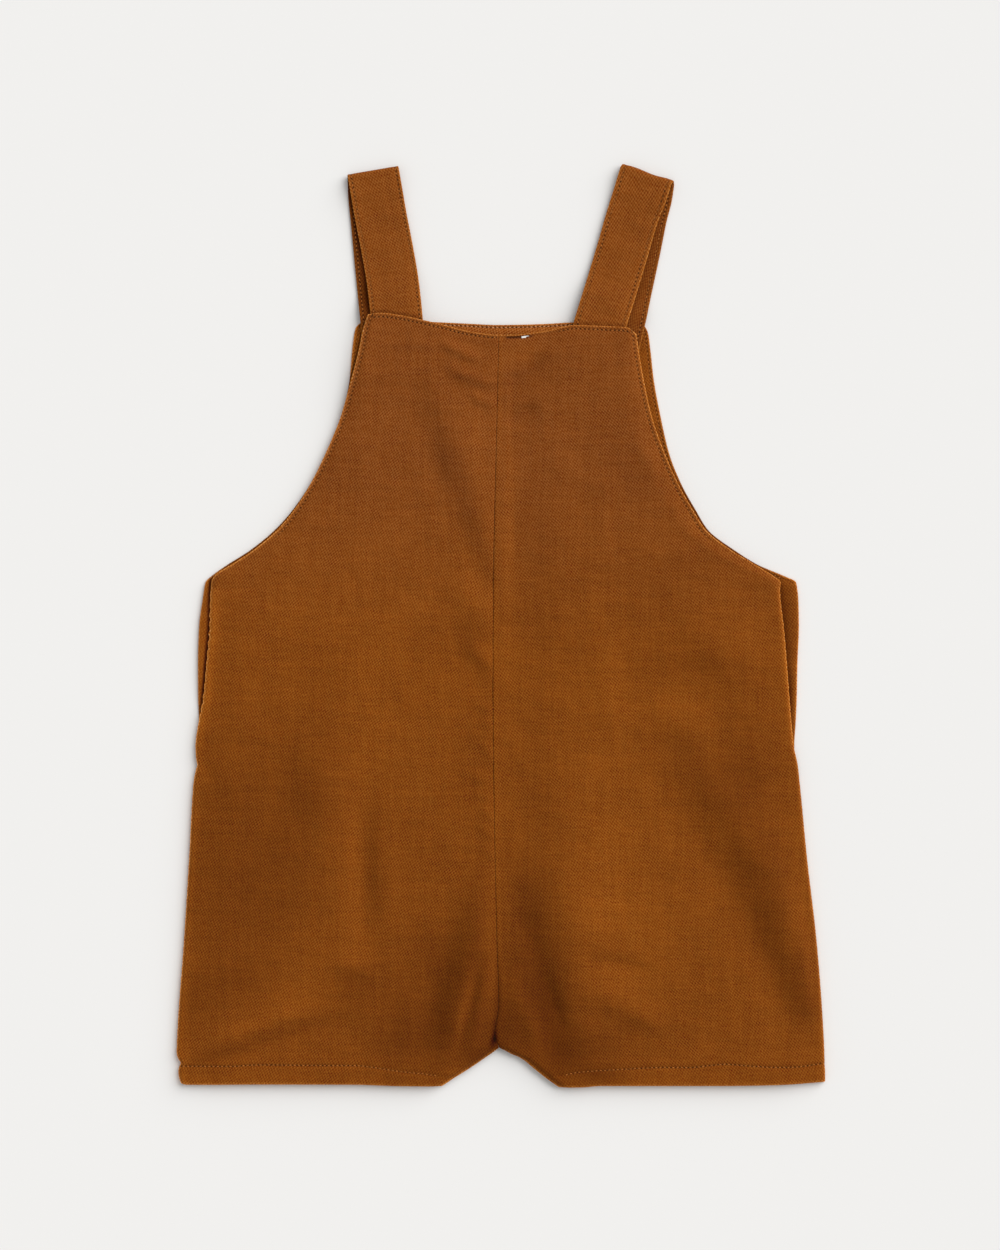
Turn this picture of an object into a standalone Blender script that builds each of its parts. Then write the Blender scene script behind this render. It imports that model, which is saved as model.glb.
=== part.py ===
"""Short overalls for a small child, lying flat with the front up.

Two fronts and two backs are sewn together down the centre and at the sides. A facing lies
inside the back neck with a blank label on it, and each strap runs from behind the bib, over
its shoulder fold, to the inside of the back. The backs lie flat on the surface.

Tables and sizes are in millimetres; MM turns them into metres as each mesh is made. The
origin is the middle of the laid-out garment, on the surface, with +Y towards the straps.
"""

import math
from collections import namedtuple

import bmesh
import bpy

MM = 0.001

# Cloth
CLOTH = 1.0  # wall of one layer of twill
HEM_WALL = 2.2  # wall of the hem, where the cloth is turned up on itself
GAP = 0.3  # clearance between pieces
HEM_DEPTH = 11.0  # from the hem's fold to its stitching
HEM_FADE = 7.0  # the doubled hem thins to one layer this near a side or an inner leg

# Heights up the garment
NECK_TOP = 168.0  # rows above BIB_BEND bend to end on the neckline
BIB_BEND = 126.0
CROTCH = -231.6
HEM = -252.0  # rows below CROTCH bend to end on the hem

# How the front lies over the back
SEAM_DITCH = 0.6  # the centre-front seam sinks this far
SEAM_REACH = 2.6
INSEAM_DROP = 1.9  # the front comes down to the back along the inner legs
INSEAM_REACH = 6.0
INSEAM_RAMP = 9.0

# Straps
STRAP_WIDTH = 28.5
STRAP_WALL = 1.0
STRAP_LIFT = 1.15  # the bib rises this far over the strap ends
STRAP_FADE = 9.0
FRONT_TAIL = 14.0  # length of strap behind the bib
BACK_TAIL = 17.0  # length of strap inside the back
LOOP_RADIUS = 1.55  # middle of the cloth round the shoulder fold
RUN_SAG = 1.7  # the free front run sinks on to the back run
RUN_EASE = 22.0  # length in which it sinks and rises again
STRAP_CLIMB = 17.0  # length in which a run climbs on to the garment

# Back facing and label
FACING_DEPTH = 36.0
FACING_TUCK = 2.0  # its ends lie this far inside the edges of the bib
LABEL_WIDTH = 15.0
LABEL_DEPTH = 11.0
LABEL_CORNER = (10.6, 159.8)  # its upper left corner, just below the front's neckline
LABEL_TILT = 0.04

RUST = (0.235, 0.063, 0.010, 1.0)
WHITE = (0.80, 0.79, 0.76, 1.0)

# Distance of each side's edge from the middle. Above the underarm, at about 26, the edges
# are armholes; below it they are the sides. The backs show beyond the fronts at the
# shoulders and for a hand's width under the arms, then they tuck in behind the fronts.
Outline = namedtuple("Outline", "height front_left back_left front_right back_right")
OUTLINE = (
    Outline(172.0, 72.8, 77.0, 71.5, 76.5),
    Outline(168.0, 74.4, 78.8, 72.6, 77.8),
    Outline(162.0, 76.1, 80.6, 74.2, 81.0),
    Outline(152.0, 78.1, 81.9, 75.7, 82.4),
    Outline(136.0, 82.3, 83.4, 78.4, 84.2),
    Outline(115.0, 88.3, 88.2, 83.2, 88.1),
    Outline(95.0, 96.6, 96.5, 90.3, 92.8),
    Outline(78.0, 105.1, 105.4, 97.9, 99.6),
    Outline(64.0, 114.0, 114.9, 105.8, 107.4),
    Outline(53.0, 123.3, 124.8, 112.9, 114.3),
    Outline(42.0, 136.3, 138.2, 126.8, 128.8),
    Outline(34.0, 148.6, 150.8, 140.2, 141.7),
    Outline(28.0, 157.7, 159.2, 149.7, 155.8),
    Outline(24.6, 159.4, 162.6, 153.3, 162.5),
    Outline(15.0, 160.0, 164.2, 153.9, 163.8),
    Outline(0.0, 160.4, 166.2, 155.7, 164.1),
    Outline(-20.0, 162.1, 166.8, 157.4, 163.3),
    Outline(-40.0, 164.0, 166.7, 158.9, 162.9),
    Outline(-52.0, 166.3, 166.3, 159.9, 162.4),
    Outline(-66.0, 168.1, 166.4, 161.3, 161.6),
    Outline(-76.0, 167.7, 166.0, 163.4, 161.7),
    Outline(-86.0, 169.3, 167.6, 164.6, 162.9),
    Outline(-127.0, 171.7, 170.0, 168.6, 166.9),
    Outline(-175.0, 174.7, 173.0, 174.1, 172.4),
    Outline(-220.0, 178.0, 176.3, 177.5, 175.8),
    Outline(-235.0, 178.6, 176.9, 178.2, 176.5),
    Outline(-240.0, 177.2, 175.5, 178.3, 176.6),
    Outline(-246.0, 177.6, 175.9, 178.6, 176.9),
    Outline(-251.5, 175.2, 173.5, 178.6, 176.9),
)

# How a front's outer edge lies: it comes down from the crown over its reach, softly on an
# armhole (roll 0) and round a tight fold at the side (roll 1), to end with its upper face
# at the lift.
Edge = namedtuple("Edge", "height reach roll lift crown")
EDGES = (
    Edge(172.0, 8.0, 0.0, 5.2, 5.2),
    Edge(146.0, 8.0, 0.0, 5.2, 5.2),
    Edge(128.0, 12.0, 0.0, 3.9, 4.9),
    Edge(108.0, 15.0, 0.0, 2.8, 4.7),
    Edge(36.0, 14.0, 0.0, 2.8, 4.7),
    Edge(27.0, 6.0, 0.6, 2.1, 4.6),
    Edge(18.0, 3.2, 1.0, 1.5, 4.5),
    Edge(-76.0, 3.2, 1.0, 1.5, 4.6),
    Edge(-86.0, 3.2, 1.0, 0.3, 4.6),
    Edge(-226.0, 3.2, 1.0, 0.3, 4.7),
    Edge(-242.0, 3.2, 1.0, 0.3, 4.9),
)

# Height of the two necklines across the garment
Neck = namedtuple("Neck", "across front back")
NECKS = (
    Neck(-80.5, 163.0, 164.2),
    Neck(-77.0, 167.0, 167.4),
    Neck(-72.8, 171.6, 167.9),
    Neck(-66.0, 172.3, 168.2),
    Neck(-54.0, 170.8, 168.2),
    Neck(-42.7, 168.4, 168.0),
    Neck(-32.4, 166.1, 167.6),
    Neck(-16.0, 162.0, 166.8),
    Neck(-2.0, 160.4, 166.2),
    Neck(8.0, 160.5, 166.3),
    Neck(16.6, 161.4, 166.5),
    Neck(26.8, 162.9, 166.9),
    Neck(40.0, 165.6, 167.6),
    Neck(58.0, 165.0, 167.7),
    Neck(69.0, 164.4, 167.2),
    Neck(74.5, 160.6, 166.8),
    Neck(79.0, 156.0, 166.0),
    Neck(82.0, 150.0, 163.0),
)

# Height of the hem's fold across the garment
Hem = namedtuple("Hem", "across edge")
HEMS = (
    Hem(-178.0, -249.8),
    Hem(-172.3, -251.8),
    Hem(-133.6, -251.4),
    Hem(-81.0, -251.4),
    Hem(-55.5, -252.6),
    Hem(-33.0, -252.8),
    Hem(33.0, -253.4),
    Hem(44.0, -253.3),
    Hem(55.0, -252.5),
    Hem(119.0, -252.5),
    Hem(150.0, -252.1),
    Hem(178.0, -250.4),
)

# The two centre seams, and how far each inner leg is from the middle below the crotch
Seam = namedtuple("Seam", "height front back")
SEAMS = (
    Seam(160.0, -1.3, 1.5),
    Seam(105.0, -2.5, 1.2),
    Seam(28.0, -4.2, 0.6),
    Seam(-23.0, -4.4, 0.2),
    Seam(-109.0, -3.6, -0.2),
    Seam(-173.0, -2.3, -0.4),
    Seam(-208.0, -1.3, -0.5),
    Seam(-224.0, -3.6, -0.5),
    Seam(CROTCH, -0.9, -0.6),
)
Inseam = namedtuple("Inseam", "height left right")
INSEAMS = (
    Inseam(CROTCH, 1.1, 0.6),
    Inseam(-234.0, 4.4, 3.6),
    Inseam(-237.0, 8.6, 10.6),
    Inseam(-243.0, 17.4, 18.2),
    Inseam(-248.0, 25.4, 24.4),
    Inseam(-253.5, 33.6, 32.2),
)

# The largest folds of the front: the line each one follows, how far it rises or sinks,
# and how wide it spreads
Fold = namedtuple("Fold", "x0 y0 x1 y1 rise width")
FOLDS = (
    Fold(-38.0, 128.0, -21.0, 62.0, -0.8, 10.0),
    Fold(-21.0, 62.0, -8.0, 24.0, -0.7, 8.0),
    Fold(14.0, 118.0, 52.0, 40.0, 0.5, 20.0),
    Fold(70.0, 96.0, 90.0, 70.0, -0.6, 10.0),
    Fold(-118.0, 30.0, -100.0, -60.0, 0.5, 22.0),
    Fold(117.0, -20.0, 94.0, -62.0, -0.6, 14.0),
    Fold(-81.0, -104.0, -81.0, -178.0, 0.8, 9.0),
    Fold(-70.0, -118.0, -72.0, -208.0, -0.7, 10.0),
    Fold(-17.0, -150.0, -40.0, -228.0, -0.8, 9.0),
    Fold(15.0, -168.0, 32.0, -226.0, -0.9, 9.0),
    Fold(47.0, -181.0, 78.0, -184.0, -0.6, 9.0),
    Fold(121.0, -96.0, 143.0, -150.0, -0.8, 11.0),
    Fold(143.0, -150.0, 163.0, -210.0, -0.6, 9.0),
    Fold(-5.0, -222.0, -3.0, -232.0, -1.1, 4.0),
)

# Distance of each strap's middle from the middle of the garment, on its front run and on
# the back run under it
StrapLine = namedtuple("StrapLine", "height front_left back_left front_right back_right")
STRAP_LINES = (
    StrapLine(250.0, 70.3, 70.5, 80.8, 81.8),
    StrapLine(240.0, 68.5, 70.1, 77.4, 80.4),
    StrapLine(226.0, 66.1, 68.7, 72.4, 77.3),
    StrapLine(208.0, 62.6, 67.0, 67.2, 73.7),
    StrapLine(187.0, 59.1, 65.0, 60.9, 69.2),
    StrapLine(168.0, 57.1, 63.0, 55.0, 65.2),
    StrapLine(148.0, 55.9, 61.1, 49.2, 60.4),
)
SHOULDER = {"left": 250.7, "right": 248.9}  # height of each shoulder fold

FRONT_ROWS = (
    HEM, -247.0, -241.0, -236.5, CROTCH, -224.0, -213.0, -200.0, -185.0, -170.0, -155.0,
    -140.0, -125.0, -110.0, -97.0, -86.0, -76.0, -66.0, -52.0, -38.0, -22.0, -5.0, 10.0,
    20.0, 25.0, 29.0, 34.0, 40.0, 48.0, 58.0, 70.0, 84.0, 98.0, 112.0, 126.0, 137.0,
    146.0, 154.0, 161.0, NECK_TOP,
)  # fmt: skip
BACK_ROWS = (
    HEM, -247.0, -241.0, -236.5, CROTCH, -215.0, -185.0, -155.0, -120.0, -86.0, -76.0,
    -66.0, -52.0, -36.0, -15.0, 5.0, 18.0, 25.0, 29.0, 34.0, 40.0, 48.0, 58.0, 70.0,
    84.0, 98.0, 112.0, 126.0, 140.0, 152.0, 161.0, NECK_TOP,
)  # fmt: skip
SEAM_COLUMNS = (0.0, 2.4, 6.5)  # distances of a front's first columns from its inner edge
BODY_COLUMNS = 7  # even columns across a front
EDGE_COLUMNS = 4  # columns round a front's outer edge
BACK_COLUMNS = 6

SIDES = {"left": -1.0, "right": 1.0}


def read(table, key, column, at):
    """A table's column where its key is `at`: a smooth curve that never overshoots a row."""
    rows = sorted((getattr(row, key), getattr(row, column)) for row in table)
    if at <= rows[0][0]:
        return rows[0][1]
    if at >= rows[-1][0]:
        return rows[-1][1]
    k = max(i for i in range(len(rows) - 1) if rows[i][0] <= at)
    slopes = [(b[1] - a[1]) / (b[0] - a[0]) for a, b in zip(rows, rows[1:])]

    def tangent(i):
        if i == 0 or i == len(rows) - 1:
            return slopes[min(i, len(slopes) - 1)]
        before, after = slopes[i - 1], slopes[i]
        return 0.0 if before * after <= 0 else 2 * before * after / (before + after)

    step = rows[k + 1][0] - rows[k][0]
    t = (at - rows[k][0]) / step
    start, end = rows[k][1], rows[k + 1][1]
    return (
        start * (1 + 2 * t) * (1 - t) ** 2
        + end * t * t * (3 - 2 * t)
        + step * tangent(k) * t * (1 - t) ** 2
        - step * tangent(k + 1) * t * t * (1 - t)
    )


def ease(t):
    """0 before 0, 1 after 1, and a smooth step between."""
    t = min(max(t, 0.0), 1.0)
    return t * t * (3 - 2 * t)


def mix(a, b, t):
    return a + (b - a) * t


# ---- where the fronts and backs end ----------------------------------------------------


def inner_edge(layer, side, height):
    """The centre seam, or below the crotch the inner leg."""
    sign = SIDES[side]
    if height >= CROTCH:
        return read(SEAMS, "height", layer, height) + sign * GAP / 2
    return sign * read(INSEAMS, "height", side, height)


def outer_edge(layer, side, height):
    return SIDES[side] * read(OUTLINE, "height", f"{layer}_{side}", height)


def bent(layer, level, x):
    """The height of a row at x: the top rows follow the neckline and the lowest the hem."""
    if level > BIB_BEND:
        share = (level - BIB_BEND) / (NECK_TOP - BIB_BEND)
        return mix(BIB_BEND, read(NECKS, "across", layer, x), share)
    if level < CROTCH:
        share = (level - CROTCH) / (HEM - CROTCH)
        return mix(CROTCH, read(HEMS, "across", "edge", x), share)
    return level


def spot(layer, side, level, distance_of):
    """Where a row meets a column. `distance_of` gives the column's distance from the inner
    edge for a panel's width and height."""
    height = level
    for _ in range(4):
        inner = inner_edge(layer, side, height)
        width = abs(outer_edge(layer, side, height) - inner)
        distance = distance_of(width, height)
        x = inner + SIDES[side] * distance
        height = bent(layer, level, x)
    return x, height, distance, width - distance


# ---- the height of the front over the back -----------------------------------------------


def fold_rise(x, y):
    """What the front's folds add at a point, from its distance to each fold's line."""
    total = 0.0
    for fold in FOLDS:
        dx, dy = fold.x1 - fold.x0, fold.y1 - fold.y0
        along = ((x - fold.x0) * dx + (y - fold.y0) * dy) / (dx * dx + dy * dy)
        along = min(max(along, 0.0), 1.0)
        away = math.hypot(x - fold.x0 - along * dx, y - fold.y0 - along * dy)
        total += fold.rise * math.exp(-((away / fold.width) ** 2))
    return total


def strap_rise(side, x, y):
    """How far the bib lifts over the strap ends behind it."""
    middle = read(STRAP_LINES, "height", f"front_{side}", y)
    beside = abs(abs(x) - middle - 2.0) - STRAP_WIDTH / 2 - 2.0
    tail_end = read(NECKS, "across", "back", SIDES[side] * middle) - BACK_TAIL
    below = tail_end - 2.0 - y
    return STRAP_LIFT * (1 - ease(beside / STRAP_FADE)) * (1 - ease(below / STRAP_FADE))


def front_height(side, x, y, from_inner, from_outer):
    """The height of the front's upper face."""
    top = read(EDGES, "height", "crown", y) + fold_rise(x, y)
    if y > CROTCH - INSEAM_RAMP:
        ditch = SEAM_DITCH * math.exp(-((from_inner / SEAM_REACH) ** 2))
        top -= ditch * ease((y - CROTCH + INSEAM_RAMP) / INSEAM_RAMP)
    inseam = ease((CROTCH + INSEAM_RAMP - y) / INSEAM_RAMP / 2)
    top -= INSEAM_DROP * inseam * (1 - ease(from_inner / INSEAM_REACH))
    reach = read(EDGES, "height", "reach", y)
    roll = read(EDGES, "height", "roll", y)
    lift = read(EDGES, "height", "lift", y)
    t = min(from_outer / reach, 1.0)
    climb = mix(ease(t), math.sqrt(1 - (1 - t) ** 2), roll)
    return mix(lift, top, climb) + strap_rise(side, x, y)


def hem_wall(y, edge, from_inner, from_outer):
    """The wall's thickness: doubled on the hem, one layer elsewhere and at the folds."""
    doubled = ease((edge + HEM_DEPTH + 1.0 - y) / 2.0)
    doubled *= ease((min(from_inner, from_outer) - 2.0) / HEM_FADE)
    return mix(CLOTH, HEM_WALL, doubled)


# ---- making a piece of cloth -------------------------------------------------------------


def finish(name, colour, roughness):
    material = bpy.data.materials.new(name)
    material.use_nodes = True
    shader = material.node_tree.nodes["Principled BSDF"]
    shader.inputs["Base Color"].default_value = colour
    shader.inputs["Roughness"].default_value = roughness
    shader.inputs["Metallic"].default_value = 0.0
    return material


def cloth_piece(collection, name, columns, rows, place, colour, side_of_sheet):
    """One piece of cloth: a grid moved to its place and given its wall by Solidify.

    place(i, j) gives the corner's point and the wall there. side_of_sheet is -1 where the
    wall hangs below the sheet, 1 where it stands on it and 0 where the sheet is its middle.
    """
    grid = bmesh.new()
    bmesh.ops.create_grid(grid, x_segments=columns, y_segments=rows, size=0.5)
    walls = grid.verts.layers.deform.verify()
    for vert in grid.verts:
        i = round((vert.co.x + 0.5) * columns)
        j = round((vert.co.y + 0.5) * rows)
        point, wall = place(i, j)
        vert.co = [value * MM for value in point]
        vert[walls][0] = wall / HEM_WALL
    mesh = bpy.data.meshes.new(name)
    grid.to_mesh(mesh)
    grid.free()
    mesh.materials.append(finish(name, colour, 0.9))
    mesh.shade_smooth()
    piece = bpy.data.objects.new(name, mesh)
    collection.objects.link(piece)
    piece.vertex_groups.new(name="wall")
    wall = piece.modifiers.new("Wall", "SOLIDIFY")
    wall.thickness = HEM_WALL * MM
    wall.offset = side_of_sheet
    wall.vertex_group = "wall"
    wall.use_even_offset = True
    wall.use_quality_normals = True
    return piece


def add_front(collection, side):
    columns = len(SEAM_COLUMNS) + BODY_COLUMNS + EDGE_COLUMNS - 1

    def distance_to(k, width, height):
        """Columns stand close at the seam, even across the body and close at the edge."""
        reach = read(EDGES, "height", "reach", height)
        if k < len(SEAM_COLUMNS):
            return SEAM_COLUMNS[k]
        first = len(SEAM_COLUMNS) - 1
        if k <= first + BODY_COLUMNS:
            share = (k - first) / BODY_COLUMNS
            return mix(SEAM_COLUMNS[-1], width - reach, share)
        turn = (columns - k) / EDGE_COLUMNS * math.pi / 2
        return width - reach * (1 - math.cos(turn))

    def place(i, j):
        k = i if side == "right" else columns - i
        x, y, from_inner, from_outer = spot(
            "front", side, FRONT_ROWS[j], lambda width, height: distance_to(k, width, height)
        )
        z = front_height(side, x, y, from_inner, from_outer)
        edge = read(HEMS, "across", "edge", x)
        return (x, y, z), hem_wall(y, edge, from_inner, from_outer)

    rows = len(FRONT_ROWS) - 1
    cloth_piece(collection, f"front_{side}", columns, rows, place, RUST, -1)


def add_back(collection, side):
    def place(i, j):
        k = i if side == "right" else BACK_COLUMNS - i
        x, y, from_inner, from_outer = spot(
            "back", side, BACK_ROWS[j], lambda width, height: width * k / BACK_COLUMNS
        )
        edge = read(HEMS, "across", "edge", x)
        return (x, y, 0.0), hem_wall(y, edge, from_inner, from_outer)

    rows = len(BACK_ROWS) - 1
    cloth_piece(collection, f"back_{side}", BACK_COLUMNS, rows, place, RUST, 1)


def add_facing(collection):
    """The facing follows the back neckline, one layer above the backs."""
    columns, rows = 14, 3

    def place(i, j):
        y = NECK_TOP
        for _ in range(4):
            left = outer_edge("front", "left", y) + FACING_TUCK
            right = outer_edge("front", "right", y) - FACING_TUCK
            x = mix(left, right, i / columns)
            y = read(NECKS, "across", "back", x) - GAP - FACING_DEPTH * (1 - j / rows)
        return (x, y, CLOTH + GAP), CLOTH

    cloth_piece(collection, "back_facing", columns, rows, place, RUST, 1)


def add_label(collection):
    def place(i, j):
        right, down = LABEL_WIDTH * i, LABEL_DEPTH * (1 - j)
        x = LABEL_CORNER[0] + right + LABEL_TILT * down
        y = LABEL_CORNER[1] + LABEL_TILT * right - down
        return (x, y, 2 * (CLOTH + GAP)), CLOTH

    cloth_piece(collection, "neck_label", 1, 1, place, WHITE, 1)


# ---- the straps --------------------------------------------------------------------------


def strap_stations(side):
    """The middle of the strap's cloth as (run, height, z), from its back end to its front."""
    sign = SIDES[side]
    shoulder = SHOULDER[side] - LOOP_RADIUS - STRAP_WALL / 2
    floor = STRAP_WALL / 2
    inside_back = 2 * (CLOTH + GAP) + floor
    behind_bib = inside_back + STRAP_WALL + GAP + 0.05
    loop_top = floor + 2 * LOOP_RADIUS
    back_edge = read(NECKS, "across", "back", sign * 63.0)
    bib_edge = read(NECKS, "across", "front", sign * 56.0)

    def back_z(y):
        return mix(inside_back, floor, ease((y - back_edge - 1.5) / STRAP_CLIMB))

    def front_z(y):
        sag = RUN_SAG * ease((y - bib_edge) / RUN_EASE) * ease((shoulder - y) / RUN_EASE)
        return mix(behind_bib, loop_top - sag, ease((y - back_edge - 6.0) / STRAP_CLIMB))

    back_run = [back_edge - BACK_TAIL, back_edge - 8.0, back_edge + 1.0]
    back_run += [back_edge + 1.5 + STRAP_CLIMB * share for share in (0.25, 0.5, 0.75, 1.0)]
    back_run += [mix(back_run[-1], shoulder, share) for share in (0.25, 0.5, 0.75, 1.0)]
    front_run = [mix(shoulder, bib_edge + 24.0, share) for share in (0.0, 0.12, 0.25, 0.45, 0.7, 1.0)]
    front_run += [bib_edge + rise for rise in (18.0, 12.0, 6.0, 0.0, -7.0, -FRONT_TAIL)]
    turns = [math.pi * step / 6 for step in range(1, 6)]
    middle = floor + LOOP_RADIUS
    stations = [("back", y, back_z(y)) for y in back_run]
    stations += [
        (a / math.pi, shoulder + LOOP_RADIUS * math.sin(a), middle - LOOP_RADIUS * math.cos(a))
        for a in turns
    ]
    stations += [("front", y, front_z(y)) for y in front_run]
    return stations


def strap_middle(side, run, y):
    """How far the strap's middle is from the garment's. In the fold, run is the share of
    the way from the back run to the front run."""
    share = {"back": 0.0, "front": 1.0}.get(run, run)
    return mix(
        read(STRAP_LINES, "height", f"back_{side}", y),
        read(STRAP_LINES, "height", f"front_{side}", y),
        share,
    )


def strap_slant(side, run, y):
    """The slope of the strap's cross line: square to its run, and square to the front run
    where both runs meet at the shoulder fold."""
    near, ahead = 5.0, SHOULDER[side] - 14.0
    y = min(y, ahead)
    lean = (strap_middle(side, run, y + near) - strap_middle(side, run, y - near)) / near / 2
    fold = strap_middle(side, "front", ahead + near) - strap_middle(side, "front", ahead - near)
    return mix(lean, fold / near / 2, ease((y - ahead + 20.0) / 20.0))


def add_strap(collection, side):
    sign = SIDES[side]
    stations = strap_stations(side)
    columns, rows = 2, len(stations) - 1

    def place(i, j):
        run, y, z = stations[j]
        slant = math.atan(strap_slant(side, run, y))
        across = (i / columns - 0.5) * STRAP_WIDTH
        x = sign * strap_middle(side, run, y) + across * math.cos(slant)
        return (x, y - sign * across * math.sin(slant), z), STRAP_WALL

    cloth_piece(collection, f"strap_{side}", columns, rows, place, RUST, 0)


def clear_scene():
    for old in list(bpy.data.objects):
        bpy.data.objects.remove(old, do_unlink=True)


clear_scene()
overalls = bpy.data.collections.new("Short_overalls")
bpy.context.scene.collection.children.link(overalls)
for side in SIDES:
    add_back(overalls, side)
add_facing(overalls)
add_label(overalls)
for side in SIDES:
    add_strap(overalls, side)
for side in SIDES:
    add_front(overalls, side)
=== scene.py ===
import math
from collections import namedtuple
from functools import partial

import bmesh
import bpy
import numpy as np
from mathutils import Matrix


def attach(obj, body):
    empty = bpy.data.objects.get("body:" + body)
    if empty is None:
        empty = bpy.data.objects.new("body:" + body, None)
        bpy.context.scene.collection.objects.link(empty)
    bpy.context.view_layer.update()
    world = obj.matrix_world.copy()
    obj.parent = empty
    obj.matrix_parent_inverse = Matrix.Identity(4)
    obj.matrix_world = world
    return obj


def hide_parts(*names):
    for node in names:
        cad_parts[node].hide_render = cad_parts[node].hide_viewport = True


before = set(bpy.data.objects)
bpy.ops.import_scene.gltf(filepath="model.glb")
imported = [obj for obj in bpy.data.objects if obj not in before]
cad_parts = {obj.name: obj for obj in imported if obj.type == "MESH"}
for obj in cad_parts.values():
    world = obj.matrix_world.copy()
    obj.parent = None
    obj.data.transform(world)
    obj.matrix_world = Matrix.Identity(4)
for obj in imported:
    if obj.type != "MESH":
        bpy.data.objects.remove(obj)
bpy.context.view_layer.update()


# ---- The backs ---------------------------------------------------------------------------
# Two backs of rust-brown cotton twill, seamed down the centre, with a topstitched armhole
# and neck and a turned-up hem. They lie on the surface with their inner faces up, under all
# the rest, and show beyond the fronts at the neck, at the shoulders and under the arms.

MM = 0.001
SIDES = {"left": -1.0, "right": 1.0}
RIB_LEAN = {"left": 0.39, "right": -0.43}  # of the twill's ribs from the grain
GAP = 0.08  # between the two halves at a seam
WIDEST = 178.0
NECK_TOP = 168.0  # rows above BIB_BEND bend to end on the neckline
BIB_BEND = 126.0
UNDERARM = 26.0
CROTCH = -231.6
HEM = -252.0  # rows below CROTCH bend to end on the hem
HEM_DEPTH = 11.0
LEG_SLOPE = 1.7  # of the inner legs
BACK_WALL = 0.95
BACK_HEM_WALL = 2.1
THINNEST = 0.3  # a back's wall, where its edges are rounded off
RUST = (0.198, 0.0508, 0.0028)

# Distance of each side's edge from the middle, in millimetres like all the tables here
Outline = namedtuple("Outline", "height front_left back_left front_right back_right")
OUTLINE = (
    Outline(172.0, 72.8, 77.0, 71.5, 76.5),
    Outline(168.0, 74.4, 78.8, 72.6, 77.8),
    Outline(162.0, 76.1, 80.6, 74.2, 81.0),
    Outline(152.0, 78.1, 81.9, 75.7, 82.4),
    Outline(136.0, 82.3, 83.4, 78.4, 84.2),
    Outline(115.0, 88.3, 88.2, 83.2, 88.1),
    Outline(95.0, 96.6, 96.5, 90.3, 92.8),
    Outline(78.0, 105.1, 105.4, 97.9, 99.6),
    Outline(64.0, 114.0, 114.9, 105.8, 107.4),
    Outline(53.0, 123.3, 124.8, 112.9, 114.3),
    Outline(42.0, 136.3, 138.2, 126.8, 128.8),
    Outline(34.0, 148.6, 150.8, 140.2, 141.7),
    Outline(28.0, 157.7, 159.2, 149.7, 155.8),
    Outline(24.6, 159.4, 162.6, 153.3, 162.5),
    Outline(15.0, 160.0, 164.2, 153.9, 163.8),
    Outline(0.0, 160.4, 166.2, 155.7, 164.1),
    Outline(-20.0, 162.1, 166.8, 157.4, 163.3),
    Outline(-40.0, 164.0, 166.7, 158.9, 162.9),
    Outline(-52.0, 166.3, 166.3, 159.9, 162.4),
    Outline(-66.0, 168.1, 166.4, 161.3, 161.6),
    Outline(-76.0, 167.7, 166.0, 163.4, 161.7),
    Outline(-86.0, 169.3, 167.6, 164.6, 162.9),
    Outline(-127.0, 171.7, 170.0, 168.6, 166.9),
    Outline(-175.0, 174.7, 173.0, 174.1, 172.4),
    Outline(-220.0, 178.0, 176.3, 177.5, 175.8),
    Outline(-235.0, 178.6, 176.9, 178.2, 176.5),
    Outline(-240.0, 177.2, 175.5, 178.3, 176.6),
    Outline(-246.0, 177.6, 175.9, 178.6, 176.9),
    Outline(-251.5, 176.2, 174.5, 178.6, 176.9),
)

# Height of the two necklines across the garment
Neck = namedtuple("Neck", "across front back")
NECKS = (
    Neck(-80.5, 163.0, 164.2),
    Neck(-77.0, 167.0, 167.4),
    Neck(-72.8, 171.6, 167.9),
    Neck(-66.0, 172.3, 168.2),
    Neck(-54.0, 170.8, 168.2),
    Neck(-42.7, 168.4, 168.0),
    Neck(-32.4, 166.1, 167.6),
    Neck(-16.0, 162.0, 166.8),
    Neck(-2.0, 160.4, 166.2),
    Neck(8.0, 160.5, 166.3),
    Neck(16.6, 161.4, 166.5),
    Neck(26.8, 162.9, 166.9),
    Neck(40.0, 165.6, 167.6),
    Neck(58.0, 165.0, 167.7),
    Neck(69.0, 164.4, 167.2),
    Neck(74.5, 160.6, 166.8),
    Neck(79.0, 156.0, 166.0),
    Neck(82.0, 150.0, 163.0),
)

# Height of the hem's fold across the garment
Hem = namedtuple("Hem", "across edge")
HEMS = (
    Hem(-178.0, -250.9),
    Hem(-172.3, -252.0),
    Hem(-133.6, -251.7),
    Hem(-81.0, -251.8),
    Hem(-55.5, -252.6),
    Hem(-33.0, -252.8),
    Hem(33.0, -253.4),
    Hem(44.0, -253.3),
    Hem(55.0, -252.5),
    Hem(119.0, -252.5),
    Hem(150.0, -252.1),
    Hem(178.0, -250.4),
)

# The two centre seams, and how far each inner leg is from the middle below the crotch
Seam = namedtuple("Seam", "height front back")
SEAMS = (
    Seam(160.0, -1.3, 1.5),
    Seam(105.0, -2.5, 1.2),
    Seam(28.0, -4.2, 0.6),
    Seam(-23.0, -4.4, 0.2),
    Seam(-109.0, -3.6, -0.2),
    Seam(-173.0, -2.3, -0.4),
    Seam(-208.0, -1.3, -0.5),
    Seam(-224.0, -3.6, -0.5),
    Seam(CROTCH, -0.9, -0.6),
)
Inseam = namedtuple("Inseam", "height left right")
INSEAMS = (
    Inseam(CROTCH, 1.1, 0.6),
    Inseam(-234.0, 4.4, 3.6),
    Inseam(-237.0, 8.6, 10.6),
    Inseam(-243.0, 17.4, 18.2),
    Inseam(-248.0, 25.4, 24.4),
    Inseam(-253.5, 33.6, 32.2),
)


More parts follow.
